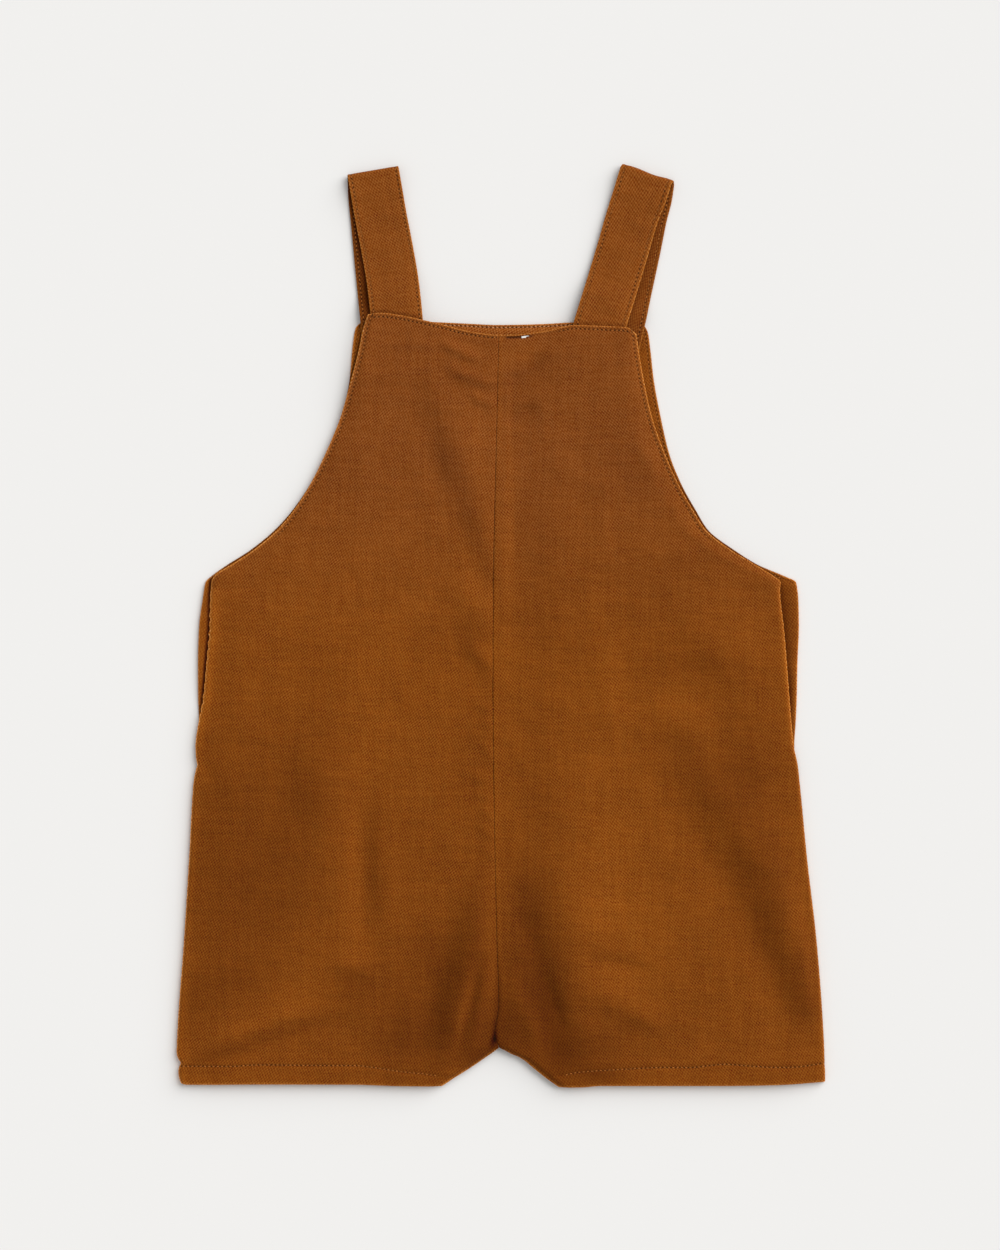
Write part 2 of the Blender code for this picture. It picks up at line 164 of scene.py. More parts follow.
def read(table, key, column, at):
    """A table's column where its key is `at`: a smooth curve that never overshoots a row."""
    keys, values = np.array(sorted((getattr(row, key), getattr(row, column)) for row in table)).T
    steps = np.diff(keys)
    slopes = np.diff(values) / steps
    before, after = slopes[:-1], slopes[1:]
    same_way = before * after > 0
    inside = 2 * before * after / np.where(same_way, before + after, 1.0)
    tangents = np.concatenate((slopes[:1], np.where(same_way, inside, 0.0), slopes[-1:]))
    at = np.clip(at, keys[0], keys[-1])
    k = np.clip(np.searchsorted(keys, at, side="right") - 1, 0, len(steps) - 1)
    t = (at - keys[k]) / steps[k]
    return (
        values[k] * (1 + 2 * t) * (1 - t) ** 2
        + values[k + 1] * t * t * (3 - 2 * t)
        + steps[k] * tangents[k] * t * (1 - t) ** 2
        - steps[k] * tangents[k + 1] * t * t * (1 - t)
    )


def ease(t):
    """0 before 0, 1 after 1, and a smooth step between."""
    t = np.clip(t, 0.0, 1.0)
    return t * t * (3 - 2 * t)


def mix(a, b, t):
    return a + (b - a) * t


def bell(distance, width):
    """1 on a line and nothing a little beyond its width."""
    return np.exp(-((distance / width) ** 2))


def slope(curve, at, near=1.0):
    """How steeply a curve runs."""
    return (curve(at + near) - curve(at - near)) / near / 2


def inner_edge(layer, side, height):
    """The centre seam, or below the crotch the inner leg."""
    seam = read(SEAMS, "height", layer, height) + SIDES[side] * GAP / 2
    leg = SIDES[side] * read(INSEAMS, "height", side, height)
    return np.where(height >= CROTCH, seam, leg)


def outer_edge(layer, side, height):
    return SIDES[side] * read(OUTLINE, "height", f"{layer}_{side}", height)


def bent(layer, level, x):
    """The height of a row at x: the top rows follow the neckline and the lowest the hem."""
    up = (level - BIB_BEND) / (NECK_TOP - BIB_BEND)
    down = (level - CROTCH) / (HEM - CROTCH)
    neck = mix(BIB_BEND, read(NECKS, "across", layer, x), up)
    hem = mix(CROTCH, read(HEMS, "across", "edge", x), down)
    return np.where(level > BIB_BEND, neck, np.where(level < CROTCH, hem, level))


def fanned(first, reach, growth=1.3):
    """Distances from an edge, close together near it and wider apart up to the reach."""
    distances = [0.0]
    step = first
    while distances[-1] + step < reach:
        distances.append(distances[-1] + step)
        step *= growth
    return np.array([*distances, reach])


def even(start, stop, pitch):
    """Even steps of about the pitch from start up to stop, which is left out."""
    return np.linspace(start, stop, round((stop - start) / pitch), endpoint=False)


def lay_out(layer, side, levels, near_seam, near_edge, pitch):
    """The x and y of a panel's rows and columns, from left to right. Columns stand at the
    given distances from the seam and from the outer edge, and at the pitch between."""
    columns = round((WIDEST - near_seam[-1] - near_edge[-1]) / pitch)
    shares = np.linspace(0, 1, columns + 1)[1:-1]
    between = near_seam[-1] * (1 - shares) - near_edge[-1] * shares
    offset = np.concatenate((near_seam, between, -near_edge[::-1]))
    share = np.concatenate((0 * near_seam, shares, 1 + 0 * near_edge))
    level = levels[:, None] + 0 * offset
    y = level
    rounds = 6  # enough for the bent rows and the edges to agree
    for _ in range(rounds):
        inner = inner_edge(layer, side, y)
        width = np.abs(outer_edge(layer, side, y) - inner)
        x = inner + SIDES[side] * (offset + share * width)
        y = bent(layer, level, x)
    order = slice(None) if side == "right" else slice(None, None, -1)
    return x[:, order], y[:, order]


# How far a point of a panel is from its edges, square to each edge
Room = namedtuple("Room", "seam edge neck hem leg")


def room(layer, side, x, y):
    neckline = partial(read, NECKS, "across", layer)
    edge = np.abs(outer_edge(layer, side, y) - x)
    inner = np.abs(x - inner_edge(layer, side, y))
    far = 999.0
    return Room(
        seam=inner,
        edge=edge / np.hypot(1, slope(partial(outer_edge, layer, side), y)),
        neck=(neckline(x) - y) / np.hypot(1, slope(neckline, x)),
        hem=y - read(HEMS, "across", "edge", x),
        leg=np.where(y < CROTCH, inner / math.hypot(1, LEG_SLOPE), far),
    )


def hem_wall(one_layer, doubled, below_stitching, at):
    """The cloth's wall: doubled below the hem's stitching, and one layer elsewhere and at
    the hem's ends."""
    share = ease((below_stitching + 0.8) / 1.6)
    share *= ease((np.minimum(np.minimum(at.seam, at.edge), at.leg) - 0.6) / 6)
    return mix(one_layer, doubled, share)


# Topstitching: a line's points, in millimetres, and the length along it in stitches
STITCH = 2.35
Line = namedtuple("Line", "points along")


def triples(*columns):
    """Three values for each point."""
    return np.stack(np.broadcast_arrays(*columns), axis=-1)


def stitch_line(x, y, z):
    points = triples(x, y, z).astype(float)
    lengths = np.linalg.norm(np.diff(points, axis=0), axis=1)
    return Line(points, np.concatenate(([0.0], np.cumsum(lengths))) / STITCH)


def needle(line, axis, at, off, on):
    """What the cloth needs to show a line's needle holes: the stitches so far, the distance
    from the line and whether the line is there."""
    order = np.argsort(line.points[:, axis])
    along = np.interp(at, line.points[order, axis], line.along[order])
    return triples(along, off, on)


def feed(tree, socket, value):
    """Set a node's input, or join it to the output that drives it."""
    if isinstance(value, Flow):
        value = value.socket
    if isinstance(value, bpy.types.NodeSocket):
        tree.links.new(value, socket)
    else:
        socket.default_value = value


def formula(tree, kind, operation, *values):
    """What a formula's node gives, with its inputs set or joined."""
    node = tree.nodes.new(kind)
    node.operation = operation
    for socket, value in zip(node.inputs, values):
        feed(tree, socket, value)
    return node.outputs[0]


class Flow:
    """A value in a material's nodes, so that a pattern reads as a formula."""

    def __init__(self, tree, socket):
        self.tree = tree
        self.socket = socket

    def math(self, operation, *others):
        return Flow(self.tree, formula(self.tree, "ShaderNodeMath", operation, self, *others))

    def __add__(self, other):
        return self.math("ADD", other)

    def __sub__(self, other):
        return self.math("SUBTRACT", other)

    def __mul__(self, other):
        return self.math("MULTIPLY", other)

    def wave(self):
        """A wave between -1 and 1 for each whole step."""
        return (self * (2 * math.pi)).math("SINE")

    def bell(self, width):
        return ((self * (1 / width)).math("POWER", 2.0) * -1.0).math("EXPONENT")


def linked(tree, kind, **inputs):
    """A node with its inputs set or joined."""
    node = tree.nodes.new(kind)
    for name, value in inputs.items():
        feed(tree, node.inputs[name], value)
    return node


def vectors(tree, operation, *values):
    """A formula on places or colours."""
    return formula(tree, "ShaderNodeVectorMath", operation, *values)


def attribute(tree, name, output="Vector"):
    """What the points of the cloth carry under a name."""
    node = tree.nodes.new("ShaderNodeAttribute")
    node.attribute_name = name
    return node.outputs[output]


def parts(tree, socket):
    """The three values of a vector."""
    node = tree.nodes.new("ShaderNodeSeparateXYZ")
    tree.links.new(socket, node.inputs[0])
    return [Flow(tree, output) for output in node.outputs]


def mottle(tree, place, size, detail=2.0):
    """Uneven patches of the given sizes across and along the cloth, about -1 to 1."""
    scaled = vectors(tree, "MULTIPLY", place, (1 / size[0], 1 / size[1], 1.0))
    noise = linked(tree, "ShaderNodeTexNoise", Vector=scaled, Scale=1.0, Detail=detail, Roughness=0.55)
    return (Flow(tree, noise.outputs["Fac"]) - 0.5) * 4.0


def blend(tree, share, first, second):
    """One colour turning into the other with the share."""
    node = tree.nodes.new("ShaderNodeMix")
    node.data_type = "RGBA"
    colours = [socket for socket in node.inputs if socket.type == "RGBA"]
    for socket, value in zip((node.inputs[0], *colours), (share, (*first, 1.0), (*second, 1.0))):
        feed(tree, socket, value)
    return node.outputs[2]


def new_material(name, roughness, shine):
    """A material with its nodes and its shader."""
    material = bpy.data.materials.new(name)
    material.use_nodes = True
    shader = material.node_tree.nodes["Principled BSDF"]
    shader.inputs["Roughness"].default_value = roughness
    shader.inputs["Specular IOR Level"].default_value = shine
    return material, material.node_tree, shader


def emboss(tree, shader, height, strength=1.0):
    """The fine relief of a surface, in millimetres."""
    bump = linked(tree, "ShaderNodeBump", Strength=strength, Distance=MM, Height=height)
    tree.links.new(bump.outputs["Normal"], shader.inputs["Normal"])


WALE = 1.42  # from one rib of the twill to the next
FLOAT = 1.24  # and from one row of floats to the next
FLOAT_TURN = 1.27  # the floats lie this far round from the ribs
HOLE_LONG = 0.54  # a needle's hole
HOLE_WIDE = 0.38
FURROW_WIDE = 0.55  # and the furrow that its line of stitching lies in
FLECKS = (1.0, 1.9, 5.4)  # pale threads are sandier than the cloth and dark ones redder
DEEPENING = (1.0, 1.17, 1.75)  # and so, less, are whole patches of it and its painted shading
DEEPEST = (0.08, 0.08, 0.08)  # that the threads' shades may get
WORN_AND_HIGHLIT = (0.51, 0.182, 0.027)  # cloth rubbed pale along its folded edges, with a painted highlight


def painted_shading_colour(painted_shading):
    """The colour of each point: its painted shading makes it deeper or paler than the cloth."""
    return np.maximum(1 + painted_shading[..., None] * np.array(DEEPENING), 0.05)


def twill(name, lean, colour=RUST):
    """Rust-brown cotton twill: ribs that lean from the grain, uneven threads, faint slubs,
    faded patches, folded edges rubbed pale with a painted highlight, painted shade in the needle holes
    and furrows of the topstitching, and the painted shading its points carry."""
    material, tree, shader = new_material(name, 0.88, 0.08)
    shader.inputs["Sheen Weight"].default_value = 0.14
    shader.inputs["Sheen Roughness"].default_value = 0.45
    shader.inputs["Sheen Tint"].default_value = (1.0, 0.45, 0.15, 1.0)
    cut = attribute(tree, "cut")
    across, along, _ = parts(tree, cut)

    # the weave
    wobble = mottle(tree, cut, (7.0, 9.0), 1.0) * 0.16
    turned = lean - math.copysign(FLOAT_TURN, lean)
    rib, floats = (
        ((across * math.cos(angle) + along * math.sin(angle) + wobble) * (1 / pitch)).wave()
        for angle, pitch in ((lean, WALE), (turned, FLOAT))
    )
    floats = floats * (mottle(tree, cut, (11.0, 8.0), 1.0) * 0.35 + 1.0)
    thread = mottle(tree, cut, (0.8, 1.0))
    weft = mottle(tree, cut, (7.0, 1.3))
    warp = mottle(tree, cut, (1.4, 26.0))
    flecks = rib * 0.115 + floats * 0.175 + thread * 0.22 + weft * 0.08 + warp * 0.06

    # where the dye took unevenly
    slub = mottle(tree, cut, (26.0, 3.2))
    streak = mottle(tree, cut, (3.0, 34.0))
    patch = mottle(tree, cut, (24.0, 30.0))
    cloud = mottle(tree, cut, (75.0, 60.0), 1.0)
    uneven = slub * 0.055 + streak * 0.05 + patch * 0.075 + cloud * 0.065

    # painted shade in the needle's holes and furrows
    pits, trenches = [], []
    for line in ("needle_edge", "needle_neck", "needle_hem"):
        stitches, off, on = parts(tree, attribute(tree, line))
        beside = ((stitches + 0.5).math("FRACT") - 0.5) * STITCH
        pits.append(beside.bell(HOLE_LONG) * off.bell(HOLE_WIDE) * on)
        trenches.append(off.bell(FURROW_WIDE) * on)
    hole, furrow = (
        first.math("MAXIMUM", second).math("MAXIMUM", third)
        for first, second, third in (pits, trenches)
    )
    sewn = (hole * -0.85 + 1.0) * (furrow * -0.14 + 1.0)

    # folded edges rubbed pale, with a painted highlight
    rim = Flow(tree, attribute(tree, "rim", "Fac"))
    worn_and_highlit = blend(tree, (rim * (thread * 0.35 + 0.62)).math("MINIMUM", 1.0), colour, WORN_AND_HIGHLIT)
    shade = vectors(tree, "MULTIPLY_ADD", flecks, FLECKS, (1.0, 1.0, 1.0))
    shade = vectors(tree, "MULTIPLY_ADD", uneven, DEEPENING, shade)
    shade = vectors(tree, "MAXIMUM", shade, DEEPEST)
    # darkened by painted shade in the stitching, and by the painted shading and dye each point carries
    for factor in (worn_and_highlit, sewn, attribute(tree, "dye_and_painted_shading")):
        shade = vectors(tree, "MULTIPLY", shade, factor)
    tree.links.new(shade, shader.inputs["Base Color"])

    ripples = mottle(tree, cut, (5.0, 4.0)) * 0.05 + mottle(tree, cut, (30.0, 9.0), 1.0) * 0.22
    ripples = ripples + mottle(tree, cut, (9.0, 15.0), 1.0) * 0.10
    weave = rib * 0.035 + floats * 0.022 + thread * 0.03 + weft * 0.02
    emboss(tree, shader, weave + ripples + hole * -0.2)
    return material


def finished(name, shape, material):
    """A bmesh as a smooth piece in the scene."""
    mesh = bpy.data.meshes.new(name)
    shape.to_mesh(mesh)
    shape.free()
    mesh.shade_smooth()
    mesh.materials.append(material)
    piece = bpy.data.objects.new(name, mesh)
    bpy.context.scene.collection.objects.link(piece)
    return piece


def cloth(name, points, wall, facts, material, stands=-1.0, slits=()):
    """A piece of cloth: a grid moved to its points, with facts for its material, opened
    along its slits and given its wall. stands is -1 where the wall hangs below the sheet,
    1 where it stands on it and 0 where the sheet is its middle."""
    rows, columns = points.shape[:2]
    thickest = float(np.max(wall))
    grid = bmesh.new()
    bmesh.ops.create_grid(grid, x_segments=columns - 1, y_segments=rows - 1, size=0.5)
    walls = grid.verts.layers.deform.verify()
    places = []
    for vert in grid.verts:
        i = round((vert.co.x + 0.5) * (columns - 1))
        j = round((vert.co.y + 0.5) * (rows - 1))
        places.append((j, i))
        vert.co = points[j, i] * MM
        vert[walls][0] = wall[j, i] / thickest
    grid.faces.ensure_lookup_table()
    opened = [grid.faces[row * (columns - 1) + column] for row, column in slits]
    bmesh.ops.delete(grid, geom=opened, context="FACES_ONLY")
    piece = finished(name, grid, material)
    j, i = np.array(places).T
    for fact, values in facts.items():
        kind, field = ("FLOAT_VECTOR", "vector") if values.ndim == 3 else ("FLOAT", "value")
        layer = piece.data.attributes.new(fact, kind, "POINT")
        layer.data.foreach_set(field, values[j, i].astype(np.float32).ravel())
    piece.vertex_groups.new(name="wall")
    thicken = piece.modifiers.new("Wall", "SOLIDIFY")
    thicken.thickness = thickest * MM
    thicken.offset = stands
    thicken.vertex_group = "wall"
    thicken.use_even_offset = True
    thicken.use_quality_normals = True
    return piece


TAN = (0.60, 0.28, 0.13)
RUST_THREAD = (0.41, 0.138, 0.027)
THREAD_WIDE = 0.50
THREAD_PROUD = 0.30
THREAD_TWIST = 0.32
THREAD_MOTTLE = (1.9, 1.9)
STITCH_LONG = 1.30


def twisted_thread(name, colour):
    """Twisted cotton thread with a faint, uneven twist."""
    material, tree, shader = new_material(name, 0.8, 0.1)
    place = linked(tree, "ShaderNodeTexCoord").outputs["Object"]
    place = vectors(tree, "MULTIPLY", place, (1 / MM, 1 / MM, 1 / MM))
    x, y, _ = parts(tree, place)
    twist = ((x + y) * (1 / THREAD_TWIST)).wave()
    shade = mottle(tree, place, THREAD_MOTTLE) * 0.28 + twist * 0.10 + 0.95
    tree.links.new(vectors(tree, "MULTIPLY", shade, colour), shader.inputs["Base Color"])
    emboss(tree, shader, twist * 0.03, 0.6)
    return material


outer_thread = twisted_thread("rust_thread", RUST_THREAD)
inner_thread = twisted_thread("tan_thread", TAN)


def sew(name, lines, thread):
    """Topstitching: a short rounded stitch at each step of the lines, pulled into the
    cloth at both ends."""
    rng = np.random.default_rng(len(lines) + round(lines[0].along[-1]))
    shape = bmesh.new()
    up = np.array((0.0, 0.0, 1.0))
    for line in lines:
        for stitch in np.arange(0.5, line.along[-1] - 0.3):
            start, end = (
                np.array([np.interp(stitch + step, line.along, line.points[:, k]) for k in range(3)])
                for step in (-0.2, 0.2)
            )
            way = (end - start) / np.linalg.norm(end - start)
            beside = np.cross(up, way)
            beside /= np.linalg.norm(beside)
            proud = np.cross(way, beside)
            middle = (start + end) / 2 + rng.normal(0.0, 0.05) * beside
            long = STITCH_LONG / 2 * rng.uniform(0.88, 1.08)
            wide = THREAD_WIDE / 2 * rng.uniform(0.9, 1.1)
            high = THREAD_PROUD / 2 * rng.uniform(0.85, 1.1)
            bead = bmesh.ops.create_uvsphere(shape, u_segments=6, v_segments=5, radius=1.0)
            turn = np.stack((proud * high, beside * wide, way * long), axis=1)
            for vert in bead["verts"]:
                vert.co = (turn @ np.array(vert.co) + middle) * MM
    piece = finished(name, shape, thread)
    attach(piece, "root")
    return piece


STRIP_BULGE = 1.2  # the side's soft roll beyond the front
BACK_EDGE_STITCH = 1.9  # from the armhole to its topstitching
BACK_NECK_STITCH = 1.4
BACK_NECK_SEWN = (2.4, 77.0)  # from the middle
BACK_FURROW = 0.22  # where the stitches draw the cloth in
THREAD_SINK = 0.12  # how far a thread's middle lies in the cloth


def along_edge(layer, side, inside, top, bottom):
    """The x and y of a line that follows an armhole, this far inside it, going down."""
    y = np.arange(top, bottom, -0.6)
    edge = partial(outer_edge, layer, side)
    return edge(y) - SIDES[side] * inside * np.hypot(1, slope(edge, y)), y


def rounded_off(distance, radius, depth):
    """How far a folded edge of cloth drops, this far from its end."""
    t = np.clip(distance / radius, 0, 1)
    return depth * (1 - np.sqrt(1 - (1 - t) ** 2))


for side in SIDES:
    # rows and columns crowd beside the edges and their stitching, and rows under the arms
    levels = np.concatenate((
        HEM + fanned(0.3, 12.0),
        even(-238.0, 22.0, 4.5),
        even(22.0, 36.0, 0.9),
        even(36.0, 160.0, 2.6),
        NECK_TOP - fanned(0.2, 7.5)[::-1],
    ))
    near_edge = np.array((
        0.0, 0.15, 0.4, 0.8, 1.2, 1.55, 1.9, 2.3, 2.9,
        3.6, 4.4, 5.3, 6.3, 7.4, 8.6, 10.0,
    ))
    x, y = lay_out("back", side, levels, fanned(0.3, 8.0), near_edge, 5.0)
    at = room("back", side, x, y)

    # the strip beyond the front bulges, and the edges are turned in
    front_edge = np.abs(outer_edge("front", side, y))
    out = np.abs(x) - front_edge
    strip = np.abs(outer_edge("back", side, y)) - front_edge
    beyond = np.clip(out / np.maximum(strip, 0.5), 0, 1)
    bulge = STRIP_BULGE * ease((strip - 1.5) / 3) * ease((UNDERARM - y) / 4) * ease((y + 74.0) / 12)
    wall = hem_wall(BACK_WALL, BACK_HEM_WALL, HEM_DEPTH - at.hem, at)
    wall += bulge * np.sqrt(np.sin(math.pi * np.clip(beyond * 0.93, 0, 1)))
    armhole_stitched = ease((y - UNDERARM + 4.0) / 3)
    wall -= BACK_FURROW * bell(at.edge - BACK_EDGE_STITCH, 0.5) * armhole_stitched
    wall -= BACK_FURROW * bell(at.neck - BACK_NECK_STITCH, 0.5)
    wall -= rounded_off(at.edge, 0.6, 0.5) + rounded_off(at.seam, 0.6, 0.4)
    wall -= rounded_off(at.neck, 0.6, 0.4) + rounded_off(at.hem, 1.0, 0.8)
    wall = np.maximum(wall, THINNEST)

    neck_x = np.arange(*BACK_NECK_SEWN, 0.7) * SIDES[side]
    neck_y = read(NECKS, "across", "back", neck_x) - BACK_NECK_STITCH
    armhole = along_edge("back", side, BACK_EDGE_STITCH, 165.0, UNDERARM)
    lines = [stitch_line(*place, BACK_WALL - THREAD_SINK) for place in (armhole, (neck_x, neck_y))]

    # painted shade on the inner face where the front's edge keeps the light off it, and painted
    # light on the strip and the shoulder corners beyond the front
    down_side = ease((30.0 - y) / 4) * ease((y + 54.0) / 6)
    low_armhole = ease((84.0 - y) / 12) * ease((y - 30.0) / 4)
    if side == "left":
        painted_shading = (0.12 - 0.95 * bell(out - 0.6, 1.0)) * down_side - 0.45 * low_armhole
        painted_shading += ease((y - 100.0) / 25) * mix(-0.35, 0.60, ease((out - 0.9) / 0.7))
    else:
        painted_shading = -(0.12 + 0.26 * bell(out, 2.2)) * down_side * ease((y + 60.0) / 30)
        painted_shading += 0.06 * ease((y - 90.0) / 20) - 0.55 * low_armhole
    # and a painted highlight where the light catches the strip's outer edge
    painted_shading += (0.40 * bell(at.edge, 0.6) + 0.16 * bell(at.edge - 1.2, 1.3)) * down_side
    facts = {
        "cut": triples(x, y, 0.0),
        "rim": 0.85 * bell(at.edge, 0.6) + 0.6 * bell(at.neck, 0.5) + 0.6 * bell(at.hem, 0.7),
        "dye_and_painted_shading": painted_shading_colour(painted_shading),
        "needle_edge": needle(lines[0], 1, y, at.edge - BACK_EDGE_STITCH, 0.6 * armhole_stitched),
        "needle_neck": needle(lines[1], 0, x, at.neck - BACK_NECK_STITCH, 1.0),
        "needle_hem": triples(x / STITCH, at.hem - HEM_DEPTH, 0.75),
    }
    back_twill = twill(f"rust_twill_{side}_back", RIB_LEAN[side])
    back = cloth(f"{side}_back", triples(x, y, 0.0), wall, facts, back_twill, stands=1.0)
    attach(back, "root")
    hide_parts(f"back_{side}")
    back_stitches = sew(f"{side}_back_stitches", lines, outer_thread)


# ---- The back facing ---------------------------------------------------------------------
# A band of the same twill inside the back neck, cut to the neck's shape and topstitched to
# it. Its upper edge and its pale stitches show above the front neckline.

FACING_DEPTH = 36.0
FACING_TUCK = 2.0  # its ends lie this far inside the edges of the bib
FACING_DROP = 0.2  # below the back's neckline
FACING_FLOOR = 1.3  # the height of its underside
FACING_WALL = 0.9
FACING_STITCH = 1.4
FACING_SEWN = (-76.0, 73.0)  # from one end of its stitching to the other
FACING_LEAN = 0.2  # of its ribs from the grain
FACING_RUST = (0.296, 0.084, 0.0118)

from_neck = np.concatenate((
    (0.0, 0.12, 0.35, 0.7, 1.05, 1.4, 1.8, 2.4),
    even(3.2, 12.0, 1.2),
    np.linspace(12.0, FACING_DEPTH, 9),
))[::-1, None]
share = np.linspace(0, 1, 101)
y = NECK_TOP - from_neck + 0 * share
for _ in range(5):
    left_end = outer_edge("front", "left", y) + FACING_TUCK
    right_end = outer_edge("front", "right", y) - FACING_TUCK
    x = mix(left_end, right_end, share)
    y = read(NECKS, "across", "back", x) - FACING_DROP - from_neck
ditch = bell(x - read(SEAMS, "height", "back", y), 0.5)
wall = FACING_WALL - 0.25 * bell(from_neck - FACING_STITCH, 0.5) - 0.3 * ditch
wall = wall - rounded_off(from_neck, 0.6, 0.45)
stitch_x = np.arange(*FACING_SEWN, 0.7)
stitch_y = read(NECKS, "across", "back", stitch_x) - FACING_DROP - FACING_STITCH
line = stitch_line(stitch_x, stitch_y, FACING_FLOOR + FACING_WALL - THREAD_SINK)
# it lies in shade behind the gap in the front neckline
in_gap = bell(from_neck - 7.4, 1.7) * ease((x - 0.5) / 1.5) * ease((19.5 - x) / 2)
facts = {
    "cut": triples(x, y, 0.0),
    "rim": 0.75 * bell(from_neck, 0.5) + 0 * x,
    "dye_and_painted_shading": painted_shading_colour(-1.00 * in_gap),
    "needle_neck": needle(line, 0, x, from_neck - FACING_STITCH, 1.0),
}
facing_twill = twill("rust_twill_facing", FACING_LEAN, FACING_RUST)
facing = cloth("neck_facing", triples(x, y, FACING_FLOOR), wall, facts, facing_twill, stands=1.0)
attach(facing, "root")
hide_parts("back_facing")
facing_stitches = sew("facing_stitches", [line], inner_thread)


# ---- The neck label ----------------------------------------------------------------------
# A blank tab of white woven tape on the facing. Its upper edge stands up into a gap in the
# front neckline's stitching, where a sliver of it shows.

LABEL_WIDTH = 15.0
LABEL_DEPTH = 11.0
LABEL_LEFT = 11.2
LABEL_TOP = 159.7
LABEL_TILT = 0.04
LABEL_FLOOR = 2.75  # the height of its underside
LABEL_WALL = 0.35
LABEL_STANDS = 1.80  # its upper edge, at the left
LABEL_SINKS = 1.10  # and this much less at the right
DULL_WHITE = (0.72, 0.71, 0.68)
CLEAN_WHITE = (0.90, 0.89, 0.86)

white_tape, tree, shader = new_material("white_tape", 0.75, 0.5)
across, along, _ = parts(tree, attribute(tree, "cut"))
weave = (across * (1 / 0.5)).wave() * (along * (1 / 0.6)).wave()
emboss(tree, shader, weave * 0.03, 0.7)
tree.links.new(blend(tree, weave * 0.5 + 0.5, DULL_WHITE, CLEAN_WHITE), shader.inputs["Base Color"])

right = np.linspace(0, LABEL_WIDTH, 26) + np.zeros((19, 1))
down = np.concatenate((even(0.0, 3.0, 0.3), np.linspace(3.0, LABEL_DEPTH, 9)))[::-1, None] + 0 * right
x = LABEL_LEFT + right + LABEL_TILT * down
y = LABEL_TOP + LABEL_TILT * right - down
stands = LABEL_STANDS - LABEL_SINKS * ease((right - 3.2) / 3.0)
z = LABEL_FLOOR + stands * ease((2.7 - down) / 1.2)
facts = {"cut": triples(right, down, 0.0)}
label = cloth("blank_label", triples(x, y, z), LABEL_WALL + 0 * x, facts, white_tape, stands=1.0)
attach(label, "root")
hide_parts("neck_label")


# ---- The straps --------------------------------------------------------------------------
# Two straps, each a tube of twill turned, pressed flat and topstitched along both edges. A
# strap runs from inside the back, round its shoulder fold and down behind the bib.

STRAP_WIDTH = 28.5
STRAP_WALL = 1.0
STRAP_STITCH = {"left": 1.9, "right": 2.4}  # from each edge
STRAP_LEAN = {"left": 0.50, "right": -0.98}  # of the twill's ribs from the strap
STRAP_RUST = (0.217, 0.0585, 0.0062)
STRAP_FURROW = 0.26
STRAP_WAVE = 0.09
BACK_CROSSING = 63.0  # where a strap crosses the two necklines, from the middle
FRONT_CROSSING = 56.0
FRONT_TAIL = 14.0  # how far its ends reach inside the necklines
BACK_TAIL = 17.0
TAIL_ROOM = 0.4  # between the facing and the strap's end inside the back
BIB_ROOM = 0.35  # and from there up to its end behind the bib
LOOP_RADIUS = 1.55  # of the shoulder fold
RUN_SAG = 1.7  # of the front run, from the shoulder fold to the bib
BACK_CLIMB = 17.0  # the length over which each run reaches its end's height
FRONT_CLIMB = 22.0
SHOULDER = {"left": 250.7, "right": 248.9}
# How far the shoulder fold bows out: all of it, and its inner and its outer half
FOLD_BULGE = {"left": (0.5, 0.0, 0.0), "right": (0.3, 1.0, 1.4)}
FOLD_FLARE = {"left": 0.0, "right": 0.05}  # the fold is pressed this much wider than the strap

# Distance of each strap's middle from the middle of the garment
StrapLine = namedtuple("StrapLine", "height front_left back_left front_right back_right")
STRAP_LINES = (
    StrapLine(250.0, 70.3, 70.5, 80.8, 81.8),
    StrapLine(240.0, 68.5, 70.1, 77.4, 80.4),
    StrapLine(226.0, 66.1, 68.7, 72.4, 77.3),
    StrapLine(208.0, 62.6, 67.0, 67.2, 73.7),
    StrapLine(187.0, 59.1, 65.0, 60.9, 69.2),
    StrapLine(168.0, 57.1, 63.0, 55.0, 65.2),
    StrapLine(148.0, 55.9, 61.1, 49.2, 60.4),
)


def strap_middle(side, share, y):
    """How far the strap's middle is from the garment's; share is 0 on the back run, 1 on
    the front run and between in the fold."""
    back_run = read(STRAP_LINES, "height", f"back_{side}", y)
    return mix(back_run, read(STRAP_LINES, "height", f"front_{side}", y), share)


def strap_slant(side, share, y):
    """The slope of the strap's cross line: square to its run, and square to the front run
    where both runs meet at the shoulder fold."""
    near, ahead = 5.0, SHOULDER[side] - 14.0
    y = np.minimum(y, ahead)
    run = slope(partial(strap_middle, side, share), y, near)
    fold = slope(partial(strap_middle, side, 1.0), ahead, near)
    return mix(run, fold, ease((y - ahead + 20.0) / 20.0))


